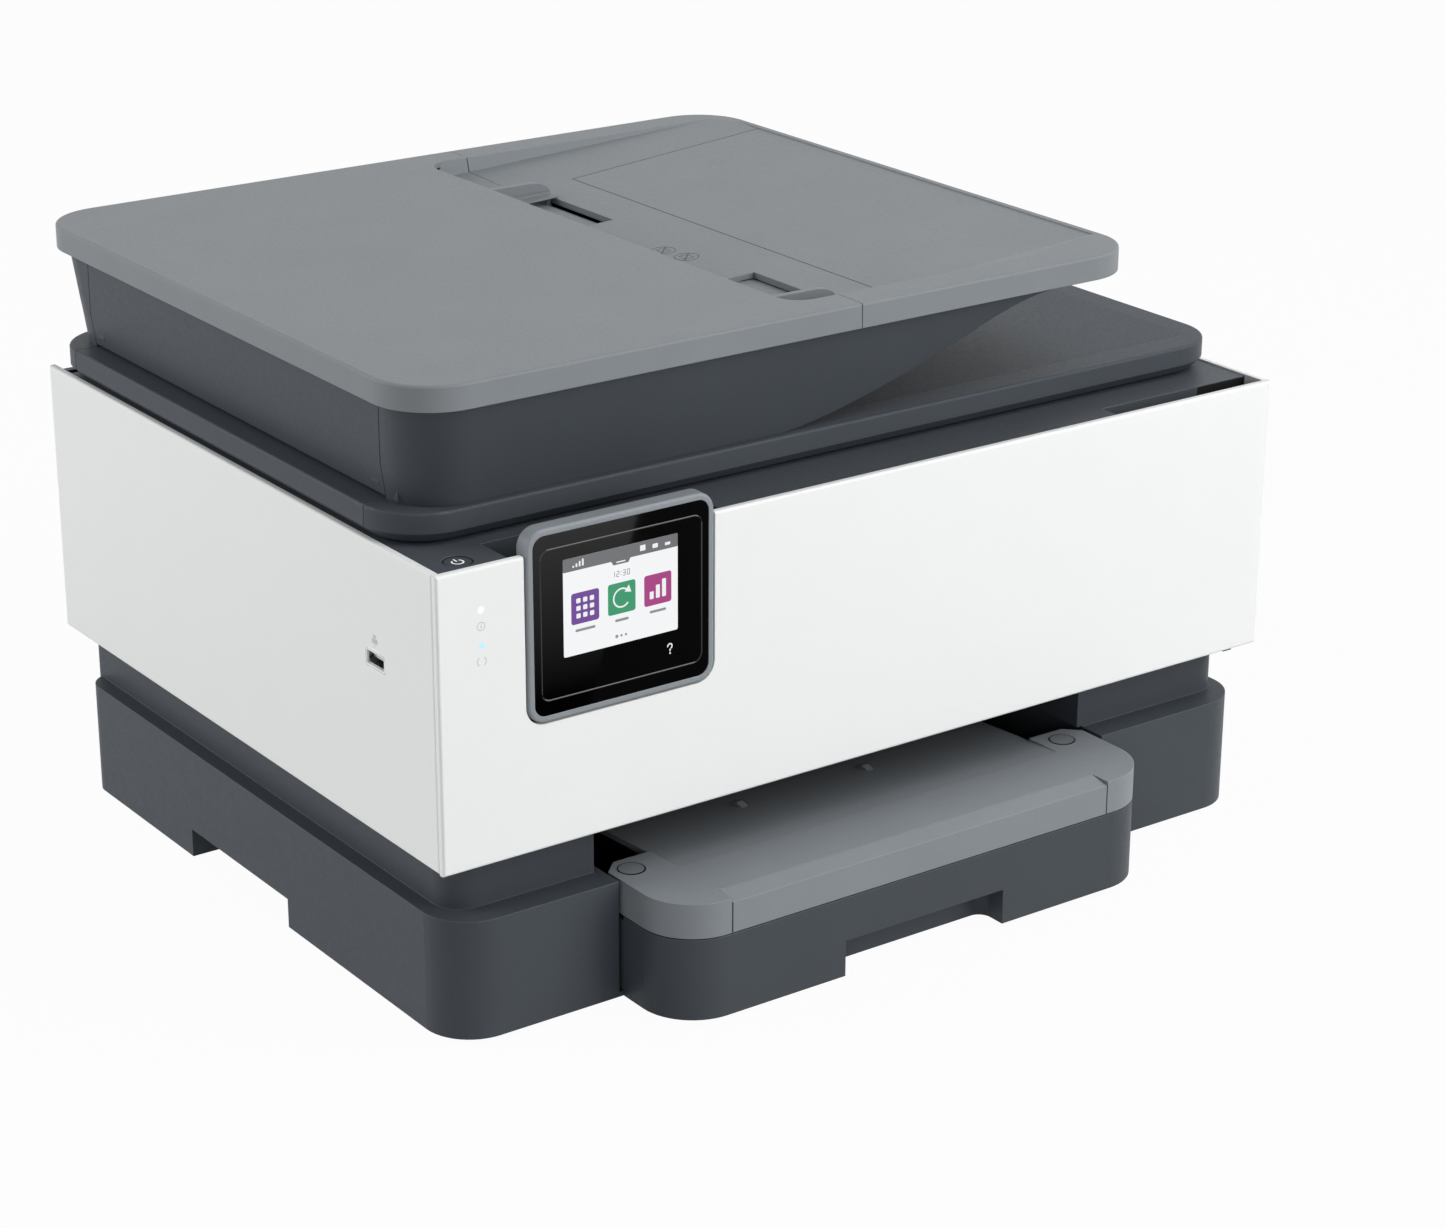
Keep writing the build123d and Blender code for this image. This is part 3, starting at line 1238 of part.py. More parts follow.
for rib_x in (output_rib_left, output_rib_right):
    output += along_x(rib_view, rib_x - output_rib_thick / 2, rib_x + output_rib_thick / 2)
flap_back = tray_front + flap_depth
output -= block(flap_left - seam_gap, flap_right + seam_gap, tray_front - past, flap_back + seam_gap / 2,
                0, tray_top + past)
flap_plate_low = skirt_low + flap_plate_rise
flap_plate_top = flap_plate_low + flap_plate_thick
plate_ends = (flap_left + flap_plate_inset, flap_right - flap_plate_inset)
for side, edge in ((-1, plate_ends[0]), (1, plate_ends[1])):
    rail = (edge + side * slide_gap, edge + side * (slide_gap + wall))
    lip = (edge - side * wall, edge + side * (slide_gap + wall))
    output += block(min(rail), max(rail), flap_back + 2 * wall, flap_plate_back, flap_plate_low - wall,
                    tray_top - output_drop)
    output += block(min(lip), max(lip), flap_back + 2 * wall, flap_plate_back, flap_plate_low - wall,
                    flap_plate_low - slide_gap)
bumpers = Part()
for x in (bumper_left, bumper_right):
    output -= rod_z(x, bumper_y, tray_top - bumper_thick, tray_top + past, bumper_radius + curve_gap)
    bumpers += rod_z(x, bumper_y, tray_top - bumper_thick, tray_top + slide_gap / 2, bumper_radius)
save("output_tray", output)
save("tray_bumpers", bumpers)
flap_edge = tray_top - flap_drop
flap = block(flap_left, flap_right, tray_front, tray_front + flap_wall, skirt_low, flap_edge - past)
flap_view = [(tray_front, flap_edge), (flap_back, tray_top), (flap_back, plate_under),
             (tray_front, flap_edge - output_thick)]
flap += along_x(flap_view, flap_left, flap_right)
flap += block(*plate_ends, tray_front + past, flap_plate_back, flap_plate_low, flap_plate_top)
save("output_flap", flap)
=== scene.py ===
"""Studio view of a desktop inkjet all-in-one: finishes, markings, small fittings, light and camera."""
import bmesh
import bpy
import json
import math
from mathutils import Matrix, Vector


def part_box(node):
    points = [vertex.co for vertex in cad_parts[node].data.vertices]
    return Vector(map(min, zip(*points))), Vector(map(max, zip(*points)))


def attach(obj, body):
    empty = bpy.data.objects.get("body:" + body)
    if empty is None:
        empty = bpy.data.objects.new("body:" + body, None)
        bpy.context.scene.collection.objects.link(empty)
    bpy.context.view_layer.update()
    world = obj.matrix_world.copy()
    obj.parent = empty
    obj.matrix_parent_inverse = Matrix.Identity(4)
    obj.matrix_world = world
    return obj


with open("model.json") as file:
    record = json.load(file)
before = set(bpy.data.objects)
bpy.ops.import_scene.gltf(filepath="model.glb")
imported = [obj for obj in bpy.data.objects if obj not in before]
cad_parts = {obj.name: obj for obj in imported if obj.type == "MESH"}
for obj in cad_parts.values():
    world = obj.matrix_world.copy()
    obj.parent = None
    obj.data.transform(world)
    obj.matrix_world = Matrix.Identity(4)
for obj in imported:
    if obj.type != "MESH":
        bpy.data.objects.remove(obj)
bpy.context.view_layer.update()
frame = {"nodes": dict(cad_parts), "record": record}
nodes = frame["nodes"]
MM = 0.001
CENTRE_SHIFT = -153.65


def at(x, y, z):
    """A point in the part's millimetres, as metres in the row frame."""
    return Vector((x * MM, (y + CENTRE_SHIFT) * MM, z * MM))


def linear(rgb):
    """A colour written as 0-255 screen values, as linear light."""
    steps = [c / 255 for c in rgb]
    return tuple(c / 12.92 if c <= 0.04045 else ((c + 0.055) / 1.055) ** 2.4 for c in steps) + (1.0,)


# Materials
def shader(name):
    """A material with an empty node tree, its output and one Principled node."""
    material = bpy.data.materials.new(name)
    material.use_nodes = True
    tree = material.node_tree
    tree.nodes.clear()
    out = tree.nodes.new("ShaderNodeOutputMaterial")
    skin = tree.nodes.new("ShaderNodeBsdfPrincipled")
    tree.links.new(skin.outputs["BSDF"], out.inputs["Surface"])
    return material, tree, skin


def noise(tree, scale, detail=2.0):
    """A noise value in the piece's own space, scale per metre."""
    place = tree.nodes.new("ShaderNodeTexCoord")
    cloud = tree.nodes.new("ShaderNodeTexNoise")
    cloud.inputs["Scale"].default_value = scale
    cloud.inputs["Detail"].default_value = detail
    tree.links.new(place.outputs["Object"], cloud.inputs["Vector"])
    return cloud.outputs["Fac"]


def spread(tree, value, low, high):
    """Map a noise value to a range."""
    ranged = tree.nodes.new("ShaderNodeMapRange")
    ranged.inputs["From Min"].default_value = 0.3
    ranged.inputs["From Max"].default_value = 0.7
    ranged.inputs["To Min"].default_value = low
    ranged.inputs["To Max"].default_value = high
    tree.links.new(value, ranged.inputs["Value"])
    return ranged.outputs["Result"]


def blend_colour(tree, value, first, second):
    """Mix two colours by a value."""
    mixer = tree.nodes.new("ShaderNodeMix")
    mixer.data_type = "RGBA"
    mixer.inputs["A"].default_value = first
    mixer.inputs["B"].default_value = second
    tree.links.new(value, mixer.inputs["Factor"])
    return mixer.outputs["Result"]


def tinted(rgb, factor):
    """The linear colour times a factor."""
    base = linear(rgb)
    return tuple(min(c * factor, 1.0) for c in base[:3]) + (1.0,)


def highlight_mask_painted(tree, soft):
    """A value that is 1 on softened edges that face up, where moulded edges catch the light: the mask of a
    painted highlight.
    """
    flat = tree.nodes.new("ShaderNodeNewGeometry")
    turned_by = tree.nodes.new("ShaderNodeVectorMath")
    turned_by.operation = "DOT_PRODUCT"
    tree.links.new(soft.outputs["Normal"], turned_by.inputs[0])
    tree.links.new(flat.outputs["True Normal"], turned_by.inputs[1])
    rounded = tree.nodes.new("ShaderNodeMapRange")
    rounded.inputs["From Min"].default_value = 0.99
    rounded.inputs["From Max"].default_value = 0.88
    tree.links.new(turned_by.outputs["Value"], rounded.inputs["Value"])
    parts = tree.nodes.new("ShaderNodeSeparateXYZ")
    tree.links.new(soft.outputs["Normal"], parts.inputs[0])
    facing = tree.nodes.new("ShaderNodeMapRange")
    facing.inputs["From Min"].default_value = 0.15
    facing.inputs["From Max"].default_value = 0.6
    tree.links.new(parts.outputs["Z"], facing.inputs["Value"])
    both = tree.nodes.new("ShaderNodeMath")
    both.operation = "MULTIPLY"
    tree.links.new(rounded.outputs["Result"], both.inputs[0])
    tree.links.new(facing.outputs["Result"], both.inputs[1])
    return both.outputs[0]


# Moulded plastic: flow marks per metre, shares of specks and flow marks in its tone, depth of its grain
FLOW_SCALE = 28.0
SPECK_SHARE = 0.55
FLOW_SHARE = 0.45
GRAIN_DEPTH = 0.00006


def moulded(name, rgb, rough, grain=1500.0, bump=0.1, vary=0.05, edge=0.0005, specular=0.2, painted_highlight=0.0):
    """Moulded plastic: spark-eroded grain, faint flow marks, softened edges and a painted highlight on the
    upper ones.
    """
    material, tree, skin = shader(name)
    flow = spread(tree, noise(tree, FLOW_SCALE, 3.0), 0.0, 1.0)
    speck = spread(tree, noise(tree, grain * 0.8), 0.0, 1.0)
    both = tree.nodes.new("ShaderNodeMath")
    both.operation = "MULTIPLY_ADD"
    both.inputs[1].default_value = SPECK_SHARE
    tree.links.new(speck, both.inputs[0])
    half = tree.nodes.new("ShaderNodeMath")
    half.operation = "MULTIPLY"
    half.inputs[1].default_value = FLOW_SHARE
    tree.links.new(flow, half.inputs[0])
    tree.links.new(half.outputs[0], both.inputs[2])
    shade = blend_colour(tree, both.outputs[0], tinted(rgb, 1 - vary), tinted(rgb, 1 + vary))
    dull = spread(tree, noise(tree, grain * 0.35), rough - 0.05, rough + 0.05)
    tree.links.new(dull, skin.inputs["Roughness"])
    skin.inputs["Specular IOR Level"].default_value = specular
    relief = tree.nodes.new("ShaderNodeBump")
    relief.inputs["Strength"].default_value = bump
    relief.inputs["Distance"].default_value = GRAIN_DEPTH
    tree.links.new(noise(tree, grain, 3.0), relief.inputs["Height"])
    if edge:
        soft = tree.nodes.new("ShaderNodeBevel")
        soft.samples = 6
        soft.inputs["Radius"].default_value = edge
        tree.links.new(soft.outputs["Normal"], relief.inputs["Normal"])
    # Painted highlight: the colour is lightened on softened edges that face up
    if painted_highlight:
        highlit_colour = tree.nodes.new("ShaderNodeMix")
        highlit_colour.data_type = "RGBA"
        highlit_colour.inputs["B"].default_value = tinted(rgb, 1 + painted_highlight)
        tree.links.new(highlight_mask_painted(tree, soft), highlit_colour.inputs["Factor"])
        tree.links.new(shade, highlit_colour.inputs["A"])
        shade = highlit_colour.outputs["Result"]
    tree.links.new(shade, skin.inputs["Base Color"])
    tree.links.new(relief.outputs["Normal"], skin.inputs["Normal"])
    return material


def brushed(name, rgb, rough, scale=600.0):
    """Drawn metal with fine streaks."""
    material, tree, skin = shader(name)
    streak = noise(tree, scale, 4.0)
    shade = blend_colour(tree, spread(tree, streak, 0.0, 1.0), tinted(rgb, 0.88), tinted(rgb, 1.1))
    tree.links.new(shade, skin.inputs["Base Color"])
    tree.links.new(spread(tree, streak, rough - 0.08, rough + 0.08), skin.inputs["Roughness"])
    skin.inputs["Metallic"].default_value = 1.0
    return material


def polished(name, rgb, rough):
    """A smooth hard face with faint waviness in its gloss."""
    material, tree, skin = shader(name)
    wave = noise(tree, 60.0, 2.0)
    shade = blend_colour(tree, spread(tree, wave, 0.0, 1.0), tinted(rgb, 0.9), tinted(rgb, 1.1))
    tree.links.new(shade, skin.inputs["Base Color"])
    tree.links.new(spread(tree, wave, max(rough - 0.02, 0.01), rough + 0.02), skin.inputs["Roughness"])
    return material


def see_through(name, rgb, rough):
    """Clear glass or plastic with a trace of tint."""
    material, tree, skin = shader(name)
    wave = noise(tree, 40.0, 2.0)
    shade = blend_colour(tree, spread(tree, wave, 0.0, 1.0), tinted(rgb, 0.97), tinted(rgb, 1.0))
    tree.links.new(shade, skin.inputs["Base Color"])
    tree.links.new(spread(tree, wave, rough, rough + 0.03), skin.inputs["Roughness"])
    skin.inputs["Transmission Weight"].default_value = 0.95
    skin.inputs["IOR"].default_value = 1.5
    return material


def lit(name, rgb, strength, pitch=9000.0):
    """A lit display patch: even glow with a trace of pixel structure."""
    material, tree, skin = shader(name)
    cell = noise(tree, pitch, 0.0)
    shade = blend_colour(tree, spread(tree, cell, 0.0, 1.0), tinted(rgb, 0.97), tinted(rgb, 1.0))
    tree.links.new(shade, skin.inputs["Emission Color"])
    skin.inputs["Emission Strength"].default_value = strength
    skin.inputs["Base Color"].default_value = (0.01, 0.01, 0.01, 1.0)
    tree.links.new(spread(tree, cell, 0.12, 0.2), skin.inputs["Roughness"])
    skin.inputs["Specular IOR Level"].default_value = 0.3
    return material


DARK = (72, 77, 83)
MID = (131, 136, 140)
WHITE = (245, 247, 246)
TRAY = (136, 141, 146)
# The highlight share given to some finishes paints their upward-facing edges lighter: a painted highlight
finishes = {
    "dark_plastic": moulded("dark_plastic", DARK, 0.46, painted_highlight=1.2, specular=0.12),
    "mid_plastic": moulded("mid_plastic", MID, 0.48, painted_highlight=0.25),
    "white_plastic": moulded("white_plastic", WHITE, 0.45, bump=0.05, vary=0.008),
    "tray_plastic": moulded("tray_plastic", TRAY, 0.46, painted_highlight=0.35),
    "bezel_plastic": moulded("bezel_plastic", (144, 150, 155), 0.36, bump=0.06, painted_highlight=0.35),
    "gloss_black": polished("gloss_black", (3, 3, 4), 0.03),
    "inner_plastic": moulded("inner_plastic", (46, 48, 51), 0.55),
    "rubber": moulded("rubber", (38, 39, 41), 0.8, grain=2600.0, bump=0.2, vary=0.1),
    "steel": brushed("steel", (186, 188, 190), 0.3),
    "clear_glass": see_through("clear_glass", (235, 245, 240), 0.01),
    "clear_plastic": see_through("clear_plastic", (240, 245, 250), 0.12),
    "circuit_board": moulded("circuit_board", (26, 74, 48), 0.45, grain=900.0, vary=0.16),
    "ink_cyan": moulded("ink_cyan", (0, 139, 190), 0.4, vary=0.08),
    "ink_magenta": moulded("ink_magenta", (190, 30, 110), 0.4, vary=0.08),
    "ink_yellow": moulded("ink_yellow", (232, 196, 20), 0.4, vary=0.08),
    "ink_black": moulded("ink_black", (30, 30, 32), 0.4, vary=0.08),
}
own_finish = {
    "tray_bumpers": moulded("bumper", (122, 127, 131), 0.6, grain=2400.0, bump=0.15),
    # The scanner deck gets a slightly lighter copy of the dark plastic: painted light, making up for the
    # shade of the lid over it
    "scanner_bed": moulded("deck_lit_copy", (74, 79, 85), 0.46, painted_highlight=0.8),
}
for row in frame["record"]["subparts"]:
    piece = nodes[row["node"]]
    piece.data.materials.clear()
    piece.data.materials.append(own_finish.get(row["node"], finishes[row["material_slot"]]))


# Mesh helpers
def add(name, mesh, material, body):
    """Make a piece from a bmesh and let it ride on its body."""
    data = bpy.data.meshes.new(name)
    bmesh.ops.recalc_face_normals(mesh, faces=mesh.faces)
    mesh.to_mesh(data)
    mesh.free()
    data.materials.append(material)
    piece = bpy.data.objects.new(name, data)
    bpy.context.scene.collection.objects.link(piece)
    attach(piece, body)
    return piece


def axes(origin, right, up):
    """A frame on a face: points are given as right, up and out of it."""
    out = right.cross(up)
    grid = Matrix((right, up, out)).transposed().to_4x4()
    grid.translation = origin
    return grid


# Right and up, seen from outside, on the faces of the object
FRONT = (Vector((1, 0, 0)), Vector((0, 0, 1)))
LEFT = (Vector((0, -1, 0)), Vector((0, 0, 1)))
TOP = (Vector((1, 0, 0)), Vector((0, 1, 0)))
BACK = (Vector((-1, 0, 0)), Vector((0, 0, 1)))
# End angle of a ring in degrees, just short of a full turn so that its outline doesn't meet itself
FULL_TURN = 359.5


def outline_row(mesh, grid, points, level):
    """New vertices along an outline, in millimetres, at one height above a face."""
    return [mesh.verts.new(grid @ (Vector((u, v, level)) * MM)) for u, v in points]


def plate(mesh, grid, points, low, high):
    """Add a flat plate over a closed outline, from one height to another above a face."""
    under = outline_row(mesh, grid, points, low)
    over = outline_row(mesh, grid, points, high)
    mesh.faces.new(over)
    mesh.faces.new(list(reversed(under)))
    for k in range(len(points)):
        n = (k + 1) % len(points)
        mesh.faces.new((under[k], under[n], over[n], over[k]))


def stamped(name, grid, outlines, low, high, material, body):
    """A piece of flat plates on one face, all of the same height."""
    mesh = bmesh.new()
    for points in outlines:
        plate(mesh, grid, points, low, high)
    return add(name, mesh, material, body)


def box_points(u, v, width, height, radius=0.0, steps=5):
    """Outline of a rectangle about a middle, with rounded corners."""
    if radius <= 0:
        return [(u - width / 2, v - height / 2), (u + width / 2, v - height / 2),
                (u + width / 2, v + height / 2), (u - width / 2, v + height / 2)]
    points = []
    corners = ((1, -1, -90), (1, 1, 0), (-1, 1, 90), (-1, -1, 180))
    for side, rise, start in corners:
        cu = u + side * (width / 2 - radius)
        cv = v + rise * (height / 2 - radius)
        for k in range(steps + 1):
            turn = math.radians(start + 90 * k / steps)
            points.append((cu + radius * math.cos(turn), cv + radius * math.sin(turn)))
    return points


def disc_points(u, v, radius, steps=28):
    """Outline of a disc."""
    turns = [2 * math.pi * k / steps for k in range(steps)]
    return [(u + radius * math.cos(turn), v + radius * math.sin(turn)) for turn in turns]


def arc_points(u, v, radius, thick, start, end, steps=28):
    """Outline of a ring segment between two angles in degrees."""
    outer = []
    inner = []
    for k in range(steps + 1):
        turn = math.radians(start + (end - start) * k / steps)
        for points, reach in ((outer, radius + thick / 2), (inner, radius - thick / 2)):
            points.append((u + reach * math.cos(turn), v + reach * math.sin(turn)))
    return outer + list(reversed(inner))


def rings(mesh, grid, rows):
    """Add a skin through closed outlines of as many points, each at its own height."""
    made = [outline_row(mesh, grid, points, level) for points, level in rows]
    for a, b in zip(made, made[1:]):
        for m in range(len(a)):
            n = (m + 1) % len(a)
            mesh.faces.new((a[m], a[n], b[n], b[m]))
    return made


def turned(mesh, grid, profile, steps=24):
    """Add a body of revolution about the face's outward axis from (radius, height) pairs."""
    made = rings(mesh, grid, [(disc_points(0, 0, radius, steps), level) for radius, level in profile])
    mesh.faces.new(list(reversed(made[0])))
    mesh.faces.new(made[-1])


# Display on the control panel: a plain home page with a bar, a clock and three tiles
PANEL_BODY = "control_panel"
screen_low, screen_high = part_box("panel_screen")
screen_w = (screen_high.x - screen_low.x) / MM
screen_h = (screen_high.z - screen_low.z) / MM
screen_grid = axes(screen_low, *FRONT)
page = lit("page_white", (250, 251, 252), 0.95)
bar_grey = lit("bar_grey", (118, 119, 122), 0.9)
line_white = lit("line_white", (245, 246, 248), 0.95)
note_grey = lit("note_grey", (150, 152, 156), 0.9)
tile_tones = [lit("tile_violet", (118, 78, 158), 0.9), lit("tile_green", (66, 160, 116), 0.9),
              lit("tile_rose", (176, 72, 140), 0.9)]
# Heights of the layers of the page above the screen, in millimetres
PAGE_LOW = 0.005
PAGE_FACE = 0.02
PAGE_TOP = 0.03
MARK_TOP = 0.05
CLOCK_LOW = 0.021
CLOCK_TOP = 0.032


def screen_piece(name, outlines, low, high, material):
    """One layer of the display, from plain outlines."""
    return stamped(name, screen_grid, outlines, low, high, material, PANEL_BODY)


# Page and the bar along its top, with a tab under the bar and plain signs in it
PAGE_MARGIN = 0.1
BAR_HIGH = 5.6
TAB_TOP = 4.6
TAB_FOOT = 3.6
TAB_DROP = 1.7
SIGN_MARGIN = 5.0
SIGN_PITCH = 6.0
SIGNAL_PITCH = 1.5
middle_u = screen_w / 2
page_w = screen_w - 2 * PAGE_MARGIN
page_h = screen_h - 2 * PAGE_MARGIN
page_shape = box_points(middle_u, screen_h / 2, page_w, page_h, 0.8)
screen_piece("screen_page", [page_shape], PAGE_LOW, PAGE_FACE, page)
bar_v = screen_h - PAGE_MARGIN - BAR_HIGH / 2
bar_foot = bar_v - BAR_HIGH / 2
bar_shape = box_points(middle_u, bar_v, page_w, BAR_HIGH, 0.5)
tab_shape = [(middle_u - TAB_FOOT, bar_foot - TAB_DROP), (middle_u + TAB_FOOT, bar_foot - TAB_DROP),
             (middle_u + TAB_TOP, bar_foot), (middle_u - TAB_TOP, bar_foot)]
screen_piece("screen_bar", [bar_shape, tab_shape], PAGE_FACE, PAGE_TOP, bar_grey)
signs = []
for k in range(3):
    sign_u = screen_w - SIGN_MARGIN - SIGN_PITCH * k
    signs.append(box_points(sign_u, bar_v - 0.6 + 0.3 * k, 2.6, 1.2 + 0.6 * k, 0.3))
for k in range(4):
    sign_u = SIGN_MARGIN + SIGNAL_PITCH * k
    signs.append(box_points(sign_u, bar_v - 1.0 + 0.35 * k, 0.8, 0.8 + 0.7 * k, 0.2))
signs.append(box_points(middle_u, bar_foot - 0.7, 4.4, 0.5, 0.2))
screen_piece("screen_signs", signs, PAGE_TOP, MARK_TOP, line_white)

# Tiles: squares, a turning arrow and bars, each with a stroke for its caption, and dots for the pages
TILE_SIZE = 13.2
TILE_ROUND = 1.1
TILE_MIDDLES = (10.4, 27.8, 45.2)
TILE_V = 19.6
SQUARE_PITCH = 3.2
SQUARE_SIZE = 2.0
CHART_PITCH = 3.0
CHART_FOOT = 3.8
CAPTION_DROP = 9.3
CAPTION_HIGH = 1.1
DOT_PITCH = 2.2
DOT_V = 3.6
for k, tone in enumerate(tile_tones):
    tile_shape = box_points(TILE_MIDDLES[k], TILE_V, TILE_SIZE, TILE_SIZE, TILE_ROUND)
    screen_piece(f"screen_tile_{k}", [tile_shape], PAGE_FACE, PAGE_TOP, tone)
first, second, third = TILE_MIDDLES
marks = []
for k in range(3):
    square_u = first - SQUARE_PITCH + SQUARE_PITCH * k
    for m in range(3):
        square_v = TILE_V - SQUARE_PITCH + SQUARE_PITCH * m
        marks.append(box_points(square_u, square_v, SQUARE_SIZE, SQUARE_SIZE, 0.4))
marks.append(arc_points(second, TILE_V, 3.9, 0.7, 40, 320))
marks.append([(second + 1.4, TILE_V + 2.2), (second + 4.6, TILE_V + 1.6), (second + 3.4, TILE_V + 4.9)])
for k, rise in enumerate((3.2, 5.6, 7.6)):
    chart_u = third - CHART_PITCH + CHART_PITCH * k
    marks.append(box_points(chart_u, TILE_V - CHART_FOOT + rise / 2, 1.9, rise, 0.3))
screen_piece("screen_marks", marks, PAGE_TOP, MARK_TOP, line_white)
notes = []
for tile_u, caption_w in zip(TILE_MIDDLES, (9.5, 6.5, 8.0)):
    notes.append(box_points(tile_u, TILE_V - CAPTION_DROP, caption_w, CAPTION_HIGH, 0.5))
for k, dot_radius in enumerate((0.75, 0.55, 0.55)):
    notes.append(disc_points(middle_u - DOT_PITCH + DOT_PITCH * k, DOT_V, dot_radius, 14))
screen_piece("screen_notes", notes, PAGE_FACE, PAGE_TOP, note_grey)

# Clock: figures made of bars, two dots in the middle
DIGITS = {"0": "abcdef", "1": "bc", "2": "abged", "3": "abgcd"}
CLOCK_START = 3.6
CLOCK_PITCH = 2.1
CLOCK_GAP = 0.9
CLOCK_DROP = 11.4
COLON_SIZE = 0.36


def digit_bars(digit, u, v, width, height, thick):
    """A plain figure made of bars."""
    half = height / 2
    spots = {"a": (u, v + half, width, thick), "g": (u, v, width, thick), "d": (u, v - half, width, thick),
             "b": (u + width / 2, v + half / 2, thick, half), "c": (u + width / 2, v - half / 2, thick, half),
             "e": (u - width / 2, v - half / 2, thick, half), "f": (u - width / 2, v + half / 2, thick, half)}
    return [box_points(*spots[s]) for s in DIGITS[digit]]


clock = []
clock_v = screen_h - CLOCK_DROP
for k, digit in enumerate("1230"):
    gap = CLOCK_GAP if k > 1 else 0
    clock += digit_bars(digit, middle_u - CLOCK_START + CLOCK_PITCH * k + gap, clock_v, 1.1, 2.2, 0.32)
clock += [box_points(middle_u, clock_v + rise, COLON_SIZE, COLON_SIZE) for rise in (-0.6, 0.6)]
screen_piece("screen_clock", clock, CLOCK_LOW, CLOCK_TOP, note_grey)

# Low ridge round the touch glass and a plain help sign
STEP_WIDE = 77.8
STEP_HIGH = 64.0
STEP_ROUND = 4.2
STEP_PROFILE = ((0.0, -0.02), (0.35, 0.12), (0.75, -0.02))
SIGN_LOW = -0.02
SIGN_TOP = 0.03
glass_low, glass_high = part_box("panel_glass")
glass_grid = axes(glass_low, *FRONT)
glass_u = (glass_high.x - glass_low.x) / MM / 2
glass_v = (glass_high.z - glass_low.z) / MM / 2
step_rings = []
for inset, level in STEP_PROFILE:
    ring = box_points(glass_u, glass_v, STEP_WIDE - 2 * inset, STEP_HIGH - 2 * inset, STEP_ROUND - inset, 8)
    step_rings.append((ring, level))
mesh = bmesh.new()
rings(mesh, glass_grid, step_rings)
add("glass_step", mesh, polished("step_gloss", (10, 10, 11), 0.1), PANEL_BODY)
help_u = glass_u + 22.9
help_v = 14.8
help_shapes = [arc_points(help_u, help_v + 1.3, 1.05, 0.55, -70, 190),
               box_points(help_u + 0.1, help_v - 0.35, 0.55, 1.1, 0.2),
               disc_points(help_u + 0.1, help_v - 1.7, 0.38, 14)]
stamped("help_sign", glass_grid, help_shapes, SIGN_LOW, SIGN_TOP, line_white, PANEL_BODY)

# Backlit power sign in its ring on the button
RING_INSET = 1.5
RING_THICK = 0.4
button_low, button_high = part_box("power_button")
button_middle = (button_low + button_high) / 2
button_grid = axes(Vector((button_middle.x, button_middle.y, button_high.z)), *TOP)
mesh = bmesh.new()
plate(mesh, button_grid, arc_points(0, 0, 2.3, 0.65, 130, 410), SIGN_LOW, 0.04)
plate(mesh, button_grid, box_points(0, 1.9, 0.65, 2.7, 0.2), SIGN_LOW, 0.05)
add("power_sign", mesh, lit("sign_white", (250, 251, 252), 0.9), "power_button")
ring_radius = (button_high.x - button_low.x) / MM / 2 - RING_INSET
ring_dark = moulded("ring_dark", (24, 25, 27), 0.5, edge=0)
stamped("power_ring", button_grid, [arc_points(0, 0, ring_radius, RING_THICK, 0, FULL_TURN, 48)],
        SIGN_LOW, SIGN_TOP, ring_dark, "power_button")

# Status lamps on the white front, their soft glow and a plain sign under each
PRINT_LOW = -0.01
PRINT_TOP = 0.012
GLOW_REACH = 0.0019
LAMP_PROFILE = ((2.0, 0.0), (2.0, 0.012), (1.0, 0.03), (0.4, 0.05))
door_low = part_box("front_door")[0]
pipe_low, pipe_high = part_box("light_pipes")
pipe_radius = (pipe_high.x - pipe_low.x) / 2
pipe_x = (pipe_low.x + pipe_high.x) / 2
sign_grey = moulded("sign_grey", (203, 206, 207), 0.5, bump=0.03, vary=0.03, edge=0)


def glow(name, rgb, middle, strength, reach):
    """White plastic lit through from behind, brightest at one point and gone at the reach."""
    material, tree, skin = shader(name)
    place = tree.nodes.new("ShaderNodeTexCoord")
    away = tree.nodes.new("ShaderNodeVectorMath")
    away.operation = "DISTANCE"
    away.inputs[1].default_value = middle
    tree.links.new(place.outputs["Object"], away.inputs[0])
    fade = tree.nodes.new("ShaderNodeMapRange")
    fade.interpolation_type = "SMOOTHSTEP"
    fade.inputs["From Min"].default_value = 0.0
    fade.inputs["From Max"].default_value = reach
    fade.inputs["To Min"].default_value = 1.0
    fade.inputs["To Max"].default_value = 0.0
    tree.links.new(away.outputs["Value"], fade.inputs["Value"])
    shade = blend_colour(tree, fade.outputs["Result"], linear(WHITE), linear(rgb))
    tree.links.new(shade, skin.inputs["Base Color"])
    power = tree.nodes.new("ShaderNodeMath")
    power.operation = "MULTIPLY"
    power.inputs[1].default_value = strength
    tree.links.new(fade.outputs["Result"], power.inputs[0])
    tree.links.new(power.outputs[0], skin.inputs["Emission Strength"])
    skin.inputs["Emission Color"].default_value = linear(rgb)
    tree.links.new(spread(tree, noise(tree, 1500.0), 0.4, 0.5), skin.inputs["Roughness"])
    return material


lamp_signs = {
    "white": [arc_points(0, -6.8, 1.7, 0.35, 0, FULL_TURN), box_points(0, -6.8, 0.4, 1.6, 0.15)],
    "blue": [arc_points(0, -6.6, 2.0, 0.4, -55, 55, 12), arc_points(0, -6.6, 2.0, 0.4, 125, 235, 12)],
}
lamp_rows = (("white", (255, 255, 255), pipe_high.z - pipe_radius, 0.5),
             ("blue", (150, 214, 248), pipe_low.z + pipe_radius, 0.45))
for tone, rgb, lamp_z, strength in lamp_rows:
    middle = Vector((pipe_x, door_low.y, lamp_z))
    lamp_grid = axes(middle, *FRONT)
    mesh = bmesh.new()
    turned(mesh, lamp_grid, LAMP_PROFILE, 32)
    lamp_skin = glow(f"glow_{tone}", rgb, middle, strength, GLOW_REACH)
    add(f"lamp_{tone}", mesh, lamp_skin, "front_door")
    stamped(f"lamp_sign_{tone}", lamp_grid, lamp_signs[tone], PRINT_LOW, PRINT_TOP,
            sign_grey, "front_door")

